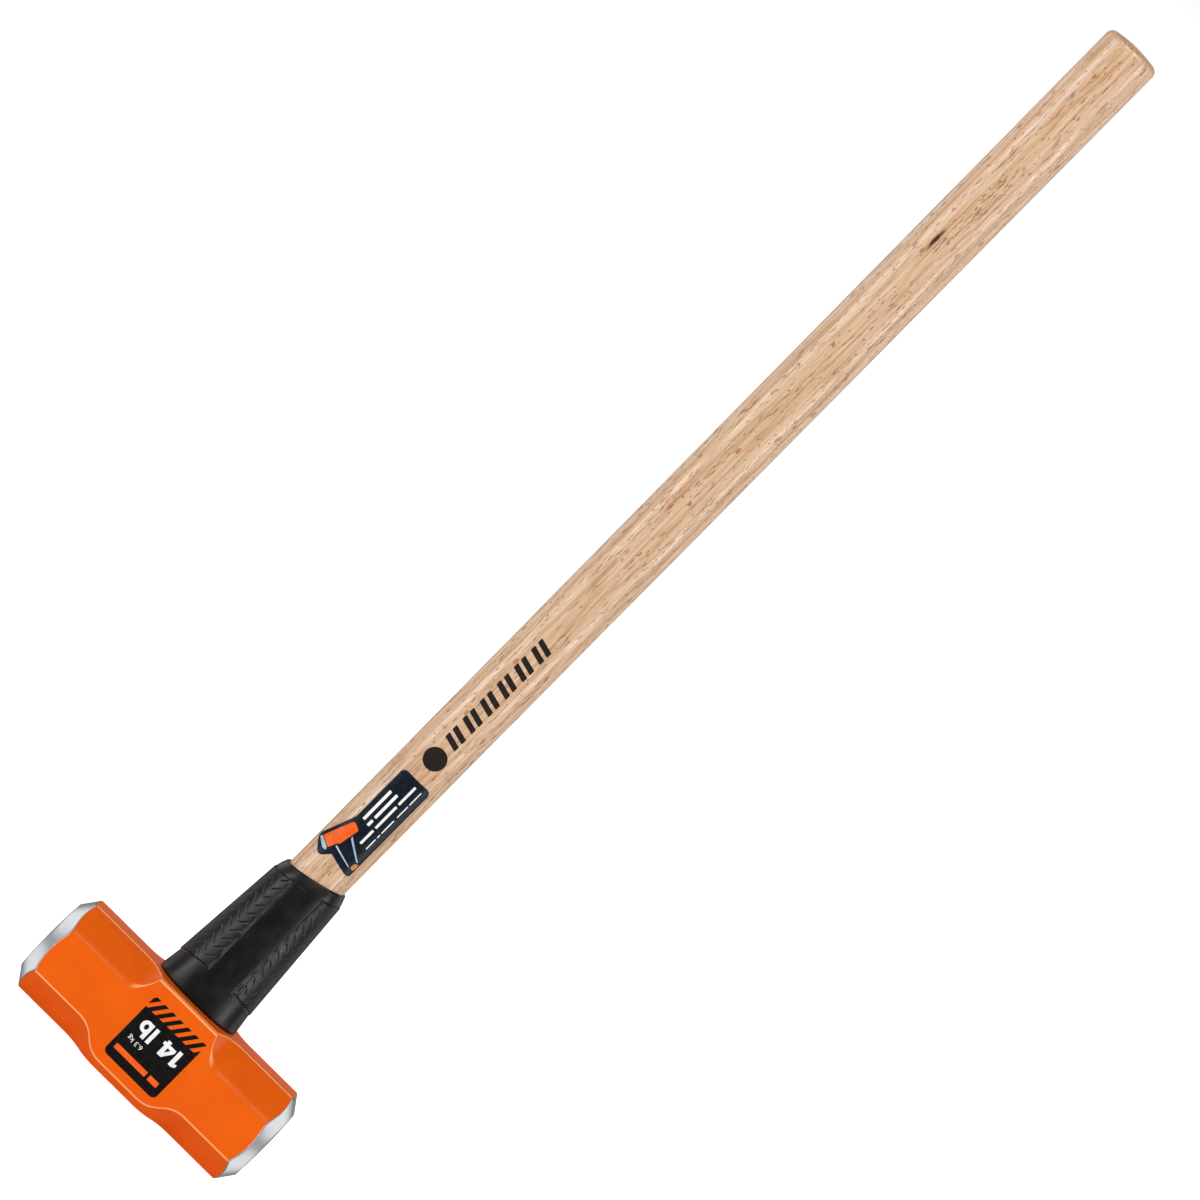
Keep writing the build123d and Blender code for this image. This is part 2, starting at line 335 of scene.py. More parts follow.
def mesh_object(
    name: str,
    points: Points,
    faces: list,
    materials: Sequence[Material] = (),
    slots: Points | None = None,
) -> Piece:
    """Makes a mesh object at the origin, with its place in its points.

    Args:
        name: The piece's name.
        points: Array of XYZ in millimetres.
        faces: Lists of point indices.
        materials: Materials, in slot order.
        slots: Material slot of each face.

    Returns:
        The linked object, smooth but for its sharp edges.
    """
    mesh = bpy.data.meshes.new(name)
    mesh.from_pydata((points * MM).tolist(), [], faces)
    for material in materials:
        mesh.materials.append(material)
    if slots is not None:
        mesh.polygons.foreach_set("material_index", np.asarray(slots, np.int32))
    mesh.update()
    made = bpy.data.objects.new(name, mesh)
    bpy.context.scene.collection.objects.link(made)
    smooth(made)
    return made


def smooth(piece: Piece) -> None:
    """Shades a piece smooth, and keeps edges over SHARP_ANGLE sharp.

    Args:
        piece: The object.
    """
    mesh = piece.data
    mesh.polygons.foreach_set("use_smooth", np.ones(len(mesh.polygons), bool))
    mesh.set_sharp_from_angle(angle=SHARP_ANGLE)


def add_point_values(piece: Piece, name: str, values: Points) -> None:
    """Stores one number for each point of a piece, for its material to read."""
    piece.data.attributes.new(name, "FLOAT", "POINT").data.foreach_set("value", values)


def settle(piece: Piece) -> None:
    """Applies a piece's modifiers to its mesh.

    Args:
        piece: The object.
    """
    bpy.context.view_layer.update()
    graph = bpy.context.evaluated_depsgraph_get()
    final = bpy.data.meshes.new_from_object(piece.evaluated_get(graph))
    piece.modifiers.clear()
    old, piece.data = piece.data, final
    final.name = piece.name
    bpy.data.meshes.remove(old)
    smooth(piece)


def cut_away(piece: Piece, tools: Sequence[Piece]) -> None:
    """Cuts closed tools out of a closed piece, and removes the tools.

    Args:
        piece: The object that is cut.
        tools: What cuts it. The cut faces take the tools' materials.
    """
    for tool in tools:
        cut = piece.modifiers.new(tool.name, "BOOLEAN")
        cut.operation = "DIFFERENCE"
        cut.solver = "EXACT"
        cut.material_mode = "TRANSFER"
        cut.object = tool
    settle(piece)
    for tool in tools:
        bpy.data.objects.remove(tool)


def soften_edges(piece: Piece, width: float) -> None:
    """Rounds a piece's sharp edges, and merges the points that this leaves too close.

    Args:
        piece: The object.
        width: Width of the rounding in millimetres.
    """
    bevel = piece.modifiers.new("soft_edges", "BEVEL")
    bevel.width = width * MM
    bevel.segments = 2
    bevel.limit_method = "ANGLE"
    bevel.angle_limit = SHARP_ANGLE
    settle(piece)
    shape = bmesh.new()
    shape.from_mesh(piece.data)
    bmesh.ops.remove_doubles(shape, verts=shape.verts[:], dist=MERGE_DISTANCE * MM)
    shape.to_mesh(piece.data)
    shape.free()


def place(piece: Piece, stands_for: Sequence[str] = ()) -> None:
    """Fixes a piece to the hammer, hides the CAD nodes it replaces and reports it.

    Args:
        piece: The finished object.
        stands_for: CAD nodes that the piece replaces.
    """
    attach(piece, BODY)
    if stands_for:
        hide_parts(*stands_for)
    log.info("%s: %d faces", piece.name, len(piece.data.polygons))


# ------------------------------------------------------------------ finishes


@dataclass(frozen=True)
class OrangeEnamel:
    """Sprayed alkyd enamel on a forging: glossy, level, with a faint orange peel.

    The crests between the flats carry a painted highlight: a paler colour drawn where the lights would put
    bright lines.
    """

    face: str = "E8600A"
    deep: str = "E05607"
    deep_share: float = 0.5
    # Painted highlight: the paler colour drawn on the crests, and how strongly it shows.
    crest_highlight: str = "FFAE74"
    crest_highlight_share: float = 0.9
    cloud_size: float = 34.0
    peel_size: float = 1.6
    peel_depth: float = 0.004
    forging_size: float = 22.0
    forging_depth: float = 0.05
    roughness: tuple[float, float] = (0.30, 0.38)
    specular: float = 0.1

    def build(self) -> Material:
        """Builds the enamel: even colour, soft reflections, a painted highlight on the crests, slightly
        uneven metal below.

        Returns:
            The enamel's material.
        """
        material, tree = new_material("orange_enamel_sprayed_on_forged_steel")
        clouds = lumps(tree, self.cloud_size, 2.0)
        deeper = fade(tree, clouds, 0.35, 0.7, (0, self.deep_share))
        colour = blend_colour(tree, deeper, self.face, self.deep)
        # Painted highlight: nearness to a crisp corner lightens the crests towards the paler colour.
        crest = add_node(tree, "Attribute", attribute_name="edge")
        painted_highlight = fade(tree, (crest, "Fac"), 0.0, 0.6, (0, self.crest_highlight_share))
        colour = blend_colour(tree, painted_highlight, colour, self.crest_highlight)
        normal = bump(tree, lumps(tree, self.forging_size, 2.0), self.forging_depth)
        normal = bump(tree, lumps(tree, self.peel_size, 1.0), self.peel_depth, below=normal)
        finish_material(
            tree,
            Base_Color=colour,
            Roughness=fade(tree, clouds, 0.3, 0.7, self.roughness),
            Normal=normal,
            Specular_IOR_Level=self.specular,
        )
        return material


@dataclass(frozen=True)
class GroundSteel:
    """Bright forged steel, ground in circles about the head's long axis."""

    light: str = "D8D8DA"
    dark: str = "C2C4C8"
    mark_spacing: float = 0.5
    mark_depth: float = 0.004
    blotch_size: float = 9.0
    blotch_share: float = 0.25
    roughness: tuple[float, float] = (0.30, 0.40)

    def build(self) -> Material:
        """Builds the steel: circular grinding marks that smear its reflections.

        The marks are noise along the distance from the head's axis.

        Returns:
            The steel's material.
        """
        material, tree = new_material("ground_bright_steel")
        coords = add_node(tree, "TexCoord")
        split = add_node(tree, "SeparateXYZ", {0: (coords, "Object")})
        up = maths(tree, "SUBTRACT", (split, "Z"), HeadSizes.half * MM)
        radius = length_of(tree, flat_vector(tree, (split, "Y"), up))
        rings = maths(tree, "MULTIPLY", radius, 1 / (self.mark_spacing * MM))
        marks = noise(tree, flat_vector(tree, rings), 4.0, rough=0.7)
        blotches = fade(tree, lumps(tree, self.blotch_size, 3.0), 0.4, 0.8, (0, self.blotch_share))
        colour = blend_colour(tree, fade(tree, marks, 0.3, 0.7), self.dark, self.light)
        colour = blend_colour(tree, blotches, colour, self.dark)
        finish_material(
            tree,
            Base_Color=colour,
            Metallic=1.0,
            Roughness=fade(tree, marks, 0.25, 0.75, self.roughness),
            Normal=bump(tree, marks, self.mark_depth),
        )
        return material


@dataclass(frozen=True)
class ForgeScale:
    """Dark oxide left inside a punched eye: dull blue-grey iron with rough patches."""

    iron: str = "3A3C3F"
    rust: str = "4C4038"
    grain: float = 2.2
    pit_depth: float = 0.12
    metallic: float = 0.6
    roughness: float = 0.62

    def build(self) -> Material:
        """Builds the scale: dark, matt and pitted.

        Returns:
            The scale's material.
        """
        material, tree = new_material("forge_scale_in_the_eye")
        pits = lumps(tree, self.grain, 4.0)
        finish_material(
            tree,
            Base_Color=blend_colour(tree, fade(tree, pits, 0.4, 0.7), self.iron, self.rust),
            Metallic=self.metallic,
            Roughness=self.roughness,
            Normal=bump(tree, pits, self.pit_depth),
        )
        return material


@dataclass(frozen=True)
class LacqueredHardwood:
    """Ring-porous hardwood, sanded and clear-lacquered: tan, streaked and pored along Z."""

    pale: str = "E2C6AA"
    tan: str = "D3AD89"
    brown: str = "BD8E66"
    red: str = "BE8A63"
    pore: str = "84502A"
    pore_share: float = 0.72
    pore_depth: float = 0.12
    fleck: str = "A8693F"
    fleck_share: float = 0.8
    ring_width: float = 4.6
    ring_lean: Triple = (0.55, 0.35, 0.0)
    pith: tuple[float, float] = (3.0, 11.0)
    wander: float = 6.0
    streak_share: float = 0.58
    fibre_size: Triple = (0.6, 0.6, 12.0)
    fibre_depth: float = 0.05
    roughness: tuple[float, float] = (0.22, 0.46)
    specular: float = 0.85
    knot_heart: str = "2A1B12"
    knot_place: Triple = (-5.1, -16.0, 743.0)
    knot_size: Triple = (1.5, 14.0, 8.5)

    def build(self) -> Material:
        """Builds the wood: growth rings, pores, ray flecks, one small knot, satin lacquer.

        Returns:
            The wood's material.
        """
        material, tree = new_material("clear_lacquered_hardwood")
        colour, early = self._rings(tree)
        colour, pores = self._pores(tree, colour, early)
        colour = self._flecks(tree, colour)
        colour = self._knot(tree, colour)
        fibre = lumps(tree, self.fibre_size, 3.0, rough=0.6)
        normal = bump(tree, fibre, self.fibre_depth)
        finish_material(
            tree,
            Base_Color=colour,
            Roughness=fade(tree, fibre, 0.3, 0.7, self.roughness),
            Normal=bump(tree, pores, -self.pore_depth, below=normal),
            Specular_IOR_Level=self.specular,
        )
        return material

    def _rings(self, tree: Tree) -> tuple[Socket, Socket]:
        """Growth rings: distance from a far, slightly leaning pith, bent by long noise.

        Args:
            tree: The material's node tree.

        Returns:
            The colour, and how much a point lies in porous early wood.
        """
        coords = object_coords(tree, self.ring_width, turn=self.ring_lean)
        shift = maths(tree, "MULTIPLY", lumps(tree, (15.0, 15.0, 130.0), 4.0), self.wander)
        split = add_node(tree, "SeparateXYZ", {0: coords})
        side = maths(tree, "ADD", (split, "X"), self.pith[0])
        away = maths(tree, "ADD", (split, "Y"), self.pith[1])
        distance = length_of(tree, flat_vector(tree, side, away))
        ring = maths(tree, "FRACT", maths(tree, "ADD", distance, shift))
        year = [(0.0, self.brown), (0.12, self.tan), (0.5, self.pale), (0.82, self.tan), (0.95, self.brown)]
        streaks = lumps(tree, (1.0, 1.0, 42.0), 5.0, rough=0.66)
        shades = [(0.30, self.red), (0.43, self.brown), (0.53, self.tan), (0.68, self.pale)]
        early = fade(tree, ring, 0.25, 0.5, (1, 0))
        colour = blend_colour(tree, self.streak_share, ramp(tree, ring, year), ramp(tree, streaks, shades))
        return colour, early

    def _pores(self, tree: Tree, colour: Socket, early: Socket) -> tuple[Socket, Socket]:
        """Short dark dashes, thick in early wood: the peaks of two stretched noises.

        Args:
            tree: The material's node tree.
            colour: The wood's colour so far.
            early: How much a point lies in early wood.

        Returns:
            The new colour, and where the pores are.
        """
        dashes = fade(tree, lumps(tree, (0.95, 0.95, 7.5), 1.5), 0.585, 0.66)
        spots = fade(tree, lumps(tree, (1.5, 1.5, 5.0), 1.0), 0.66, 0.72)
        pores = maths(tree, "MAXIMUM", maths(tree, "MULTIPLY", dashes, early), spots)
        faint = maths(tree, "MULTIPLY", pores, self.pore_share)
        return blend_colour(tree, faint, colour, self.pore), pores

    def _flecks(self, tree: Tree, colour: Socket) -> Socket:
        """Small red-brown ray flecks: about one stretched Voronoi cell in eight holds one.

        Args:
            tree: The material's node tree.
            colour: The wood's colour so far.

        Returns:
            The new colour.
        """
        inputs = {"Vector": object_coords(tree, (6.0, 6.0, 11.0)), "Scale": 1.0}
        cells = add_node(tree, "TexVoronoi", inputs)
        pick = add_node(tree, "SeparateColor", {0: (cells, "Color")})
        chosen = fade(tree, (pick, "Red"), 0.86, 0.88)
        spot = fade(tree, (cells, "Distance"), 0.17, 0.27, (self.fleck_share, 0))
        return blend_colour(tree, maths(tree, "MULTIPLY", spot, chosen), colour, self.fleck)

    def _knot(self, tree: Tree, colour: Socket) -> Socket:
        """One pin knot on the front: a dark spindle with a brown halo.

        Args:
            tree: The material's node tree.
            colour: The wood's colour so far.

        Returns:
            The new colour.
        """
        inputs = {
            "Vector": (add_node(tree, "TexCoord"), "Object"),
            "Location": tuple(-at / size for at, size in zip(self.knot_place, self.knot_size)),
            "Scale": tuple(1 / (size * MM) for size in self.knot_size),
        }
        distance = length_of(tree, (add_node(tree, "Mapping", inputs), "Vector"))
        edge = maths(tree, "ADD", distance, lumps(tree, (1.5, 1.5, 4.0), 3.0))
        colour = blend_colour(tree, fade(tree, edge, 1.1, 2.4, (0.55, 0)), colour, self.fleck)
        return blend_colour(tree, fade(tree, edge, 1.05, 1.5, (0.97, 0)), colour, self.knot_heart)


@dataclass(frozen=True)
class EndGrain:
    """Sawn end grain: darker than the side, with open pores and growth rings across it."""

    light: str = "B98F63"
    dark: str = "7D5836"
    band_unit: float = 20.4
    band_share: float = 0.4
    pore_size: Triple = (0.6, 0.6, 30.0)
    pore_share: float = 0.7
    pore_depth: float = 0.04
    roughness: float = 0.7

    def build(self) -> Material:
        """Builds the end grain: brown, matt, pitted by pores.

        Returns:
            The end grain's material.
        """
        material, tree = new_material("sawn_end_grain")
        vector = object_coords(tree, (self.band_unit, self.band_unit, 400.0))
        inputs = {"Vector": vector, "Scale": 1.0, "Distortion": 1.2}
        bands = add_node(tree, "TexWave", inputs, bands_direction="Y")
        faint = fade(tree, (bands, "Fac"), 0.35, 1.0, (0.0, self.band_share))
        pores = lumps(tree, self.pore_size, 2.0)
        colour = blend_colour(tree, faint, self.light, self.dark)
        open_pores = fade(tree, pores, 0.5, 0.7, (0, self.pore_share))
        finish_material(
            tree,
            Base_Color=blend_colour(tree, open_pores, colour, self.dark),
            Roughness=self.roughness,
            Normal=bump(tree, pores, -self.pore_depth),
        )
        return material


@dataclass(frozen=True)
class BlackRubber:
    """Compression-moulded black rubber: matt, faintly cloudy, grey where it is rubbed."""

    black: str = "09090A"
    rubbed: str = "1F1F20"
    cloud_size: Triple = (9.0, 9.0, 14.0)
    cloud_share: float = 0.35
    raised_share: float = 0.4
    grain_size: float = 1.1
    grain_depth: float = 0.05
    roughness: tuple[float, float] = (0.33, 0.46)
    specular: float = 0.4

    def build(self) -> Material:
        """Builds the rubber: dark, with wide soft highlights, greyer where it stands proud.

        Returns:
            The rubber's material.
        """
        material, tree = new_material("moulded_black_rubber")
        clouds = lumps(tree, self.cloud_size, 4.0)
        dusty = fade(tree, clouds, 0.35, 0.75, (0, self.cloud_share))
        colour = blend_colour(tree, dusty, self.black, self.rubbed)
        raised = add_node(tree, "Attribute", attribute_name="raised")
        proud = fade(tree, (raised, "Fac"), 0.2, 1.0, (0, self.raised_share))
        finish_material(
            tree,
            Base_Color=blend_colour(tree, proud, colour, self.rubbed),
            Roughness=fade(tree, clouds, 0.3, 0.7, self.roughness),
            Normal=bump(tree, lumps(tree, self.grain_size, 2.0), self.grain_depth),
            Specular_IOR_Level=self.specular,
        )
        return material


@dataclass(frozen=True)
class PrintedFilm:
    """Glossy vinyl film or a printed ink on it: one even colour with faint mottling."""

    name: str
    colour: str
    mottle: str
    roughness: float = 0.32
    roughness_spread: float = 0.08
    mottle_size: float = 3.0
    mottle_depth: float = 0.01
    specular: float = 0.2

    def build(self) -> Material:
        """Builds the film: even print with a slight haze.

        Returns:
            The film's material.
        """
        material, tree = new_material(self.name)
        haze = lumps(tree, self.mottle_size, 3.0)
        rough = (self.roughness, self.roughness + self.roughness_spread)
        finish_material(
            tree,
            Base_Color=blend_colour(tree, fade(tree, haze, 0.35, 0.7), self.colour, self.mottle),
            Roughness=fade(tree, haze, 0.3, 0.7, rough),
            Normal=bump(tree, haze, self.mottle_depth),
            Specular_IOR_Level=self.specular,
        )
        return material


class Ink(Enum):
    """The films and inks of the two labels and of the handle's stamp."""

    BLACK_FILM = PrintedFilm("black_vinyl_film", "0F0D0E", "171415")
    NAVY_FILM = PrintedFilm("navy_vinyl_film", "0E1620", "16202E")
    PALE_EDGE = PrintedFilm("pale_film_edge", "5B6672", "4C5763")
    WHITE = PrintedFilm("white_ink", "F2F2F0", "E4E4E2")
    PALE_BLUE = PrintedFilm("pale_blue_ink", "A9C6D6", "8FB0C4")
    ORANGE = PrintedFilm("orange_ink", "F2641C", "E8590F")
    WOOD_TAN = PrintedFilm("tan_ink", "C08A4A", "A87238")
    STAMP = PrintedFilm("black_stamping_ink", "1A1614", "2A211B", roughness=0.5, mottle_size=1.2)

    def material(self) -> Material:
        """The ink's material, made once."""
        made = bpy.data.materials.get(self.value.name)
        return made or self.value.build()


# ------------------------------------------------------------------ the oval handle


@dataclass(frozen=True)
class Oval:
    """A superellipse section whose half width and half depth change with height.

    A point at angle t is (a |cos t|^p, b |sin t|^p) with the signs of cos t and sin t,
    where p = 2 / power, and a and b are read from the stations at its height.
    """

    stations: tuple[tuple[float, float, float], ...]
    power: float = 2.35

    def halves(self, height: Points) -> tuple[Points, Points]:
        """Reads the stations.

        Args:
            height: Heights in millimetres.

        Returns:
            Half width and half depth at each height.
        """
        table = np.array(self.stations)
        return (
            np.interp(height, table[:, 0], table[:, 1]),
            np.interp(height, table[:, 0], table[:, 2]),
        )

    def ring(self, angle: Points, height: Points, grow: Points | float = 0.0) -> Points:
        """Points on the oval.

        Args:
            angle: Angles round the oval, in radians.
            height: Heights, of a shape that broadcasts with the angles.
            grow: Millimetres to stand outside the oval.

        Returns:
            An array of XYZ in millimetres.
        """
        half_width, half_depth = self.halves(height)
        across = np.sign(np.cos(angle)) * np.abs(np.cos(angle)) ** (2 / self.power)
        deep = np.sign(np.sin(angle)) * np.abs(np.sin(angle)) ** (2 / self.power)
        x, y = (half_width + grow) * across, (half_depth + grow) * deep
        return np.stack(np.broadcast_arrays(x, y, height + 0.0 * x), axis=-1)

    def front(self, x: Points, height: Points, grow: float = 0.0) -> Points:
        """The oval's front: y = -b (1 - |x / a|^power)^(1 / power).

        Args:
            x: Distances from the axis.
            height: Height of each point.
            grow: Millimetres to stand outside the oval.

        Returns:
            y at each point.
        """
        half_width, half_depth = self.halves(height)
        share = np.clip(np.abs(x) / (half_width + grow), 0, 1) ** self.power
        return -(half_depth + grow) * (1 - share) ** (1 / self.power)


# Stations of the eye and the handle: height, half width and half depth.
EYE = Oval(
    (
        (-6.0, 19.4, 14.6),
        (0.0, 19.4, 14.6),
        (40.0, 17.6, 12.9),
        (72.4, 18.4, 13.8),
        (78.4, 18.4, 13.8),
    )
)
SHAFT = Oval(
    (
        (0.0, 19.4, 14.6),
        (40.0, 17.6, 12.9),
        (72.4, 18.4, 13.8),
        (96.0, 19.4, 15.4),
        (190.0, 19.5, 15.5),
        (280.0, 19.5, 15.5),
        (550.0, 19.6, 15.6),
        (914.4, 19.95, 15.95),
    )
)


@dataclass
class Handle:
    """The hardwood handle: an oval bar with a domed butt and a wedged tenon."""

    top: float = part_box("handle")[1].z / MM
    foot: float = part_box("handle")[0].z / MM
    columns: int = 144
    dome_radius: float = 84.0
    edge_radius: float = 5.0
    edge_steps: int = 6
    foot_edge: float = 0.5
    tenon_rows: tuple[float, ...] = (12.0, 26.0, 40.0, 56.0, 72.4, 84.0, 96.0)
    shaft_start: float = 110.0
    shaft_stop_short: float = 12.0
    shaft_rows: int = 66
    dome_shares: tuple[float, ...] = (0.85, 0.65, 0.42, 0.2)
    sawn_edge_rows: int = 2

    def build(self) -> Piece:
        """Builds the bar, closes its ends and cuts the wedges' kerfs.

        Rings climb the bar. At the butt each column turns in on an arc that meets a
        spherical dome, z = top - r^2 / (2 dome_radius), which closes at one point.

        Returns:
            The handle's object.
        """
        angle = np.linspace(0, 2 * np.pi, self.columns, endpoint=False)
        rim = SHAFT.ring(angle, np.full(self.columns, self.top))
        reach = np.linalg.norm(rim[:, :2], axis=1)
        slope = (reach - self.edge_radius) / self.dome_radius
        turn = np.pi / 2 - slope
        inner = reach - self.edge_radius * (1 - np.cos(turn))
        tangent_height = self.top - inner**2 / (2 * self.dome_radius)
        arc_foot = tangent_height - self.edge_radius * np.sin(turn)

        foot_rows = [
            SHAFT.ring(angle, np.full(self.columns, self.foot), -self.foot_edge),
            SHAFT.ring(angle, np.full(self.columns, self.foot + self.foot_edge)),
        ]
        shaft = np.linspace(self.shaft_start, self.top - self.shaft_stop_short, self.shaft_rows)
        heights = np.concatenate([self.tenon_rows, shaft])
        side_rows = [SHAFT.ring(angle, np.full(self.columns, h)) for h in heights]
        side_rows.append(SHAFT.ring(angle, arc_foot))
        share = np.linspace(0, 1, self.edge_steps + 1)[1:, None]
        inset = self.edge_radius * (1 - np.cos(share * turn))
        rise = self.edge_radius * np.sin(share * turn)
        arc = rim[:, :2] * (1 - inset / reach)[..., None]
        arc_rows = np.dstack([arc, arc_foot + rise])
        keep = np.array(self.dome_shares)[:, None]
        dome_xy = arc_rows[-1, :, :2] * keep[..., None]
        dome_z = self.top - (inner * keep) ** 2 / (2 * self.dome_radius)
        dome_rows = np.dstack([dome_xy, dome_z])

        rows = np.concatenate([np.stack(foot_rows + side_rows), arc_rows, dome_rows])
        points, faces = capped_loft(rows, (0, 0, self.foot), (0, 0, self.top))
        row_of_quad = np.repeat(np.arange(len(rows) - 1), self.columns)
        sawn_from = len(rows) - 1 - len(self.dome_shares) - self.sawn_edge_rows
        slots = np.concatenate([row_of_quad >= sawn_from, np.ones(2 * self.columns)])
        materials = [LacqueredHardwood().build(), EndGrain().build()]
        bar = mesh_object("hardwood_handle", points, faces, materials, slots)
        cut_away(bar, Wedges().kerf_tools(materials[1]))
        return bar

    def dress(self, bar: Piece) -> None:
        """Puts the bar in the CAD handle's place."""
        place(bar, ["handle"])


@dataclass
class Wedges:
    """The wooden wedge and two steel ones: CAD shapes with finishes, and the cuts for them."""

    wood_foot: float = 5.6
    wood_tip: float = 1.0
    wood_top: float = 56.0
    kerf_length: float = 60.0
    steel_foot: float = 4.2
    steel_tip: float = 0.6
    steel_top: float = 34.0
    steel_width: float = 19.0
    steel_x: float = 8.5
    steel_skew: float = 18.0
    foot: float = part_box("wooden_wedge")[0].z / MM
    clearance: float = 0.05
    overrun: float = 3.0

    def taper(
        self,
        name: str,
        foot: float,
        tip: float,
        top: float,
        width: float,
        x: float,
        skew: float,
        material: Material,
    ) -> Piece:
        """A closed tapered blade: two rectangles, one at the foot and one at the tip.

        Args:
            name: The object's name.
            foot: Thickness at the tenon's end.
            tip: Thickness at the blade's thin end.
            top: Height of the thin end.
            width: Width of the blade.
            x: The blade's place along the head.
            skew: Turn about Z in degrees from lying across X.
            material: What the cut faces show.

        Returns:
            The blade's object.
        """
        grown = np.array([foot, tip]) + 2 * self.clearance
        corners = np.array([[-1, -1], [1, -1], [1, 1], [-1, 1]]) / 2
        low = np.column_stack([corners * (grown[0], width), np.full(4, self.foot - self.overrun)])
        high = np.column_stack([corners * (grown[1], width), np.full(4, top)])
        points = np.concatenate([low, high])
        turn = math.radians(skew)
        spin = np.array([[math.cos(turn), -math.sin(turn)], [math.sin(turn), math.cos(turn)]])
        points[:, :2] = points[:, :2] @ spin.T + (x, 0)
        faces = grid_faces(2, 4).tolist() + [[3, 2, 1, 0], [4, 5, 6, 7]]
        return mesh_object(name, points, faces, [material])

    def kerf_tools(self, material: Material) -> list[Piece]:
        """Builds the three blades that cut the tenon open.

        Args:
            material: What the cut faces show.

        Returns:
            The kerf's blade, which lies along X, and the two skewed ones.
        """
        wood = (self.wood_foot, self.wood_tip, self.wood_top, self.kerf_length)
        steel = (self.steel_foot, self.steel_tip, self.steel_top, self.steel_width)
        return [
            self.taper("kerf", *wood, 0.0, 90.0, material),
            self.taper("left_cut", *steel, -self.steel_x, self.steel_skew, material),
            self.taper("right_cut", *steel, self.steel_x, self.steel_skew, material),
        ]

    def dress(self) -> None:
        """Gives the three CAD wedges their finishes."""
        wood = EndGrain(light="C9A173", dark="9A734A").build()
        steel = GroundSteel(light="9CA0A4", dark="6E7378").build()
        finishes = {"wooden_wedge": wood, "steel_wedge_left": steel, "steel_wedge_right": steel}
        for node, material in finishes.items():
            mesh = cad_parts[node].data
            mesh.materials.clear()
            mesh.materials.append(material)


# ------------------------------------------------------------------ the forged head


class HeadSizes:
    """Sizes of the head that more than one class reads, in millimetres."""

    half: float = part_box("head")[1].z / MM / 2
    length: float = (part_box("head")[1].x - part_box("head")[0].x) / MM


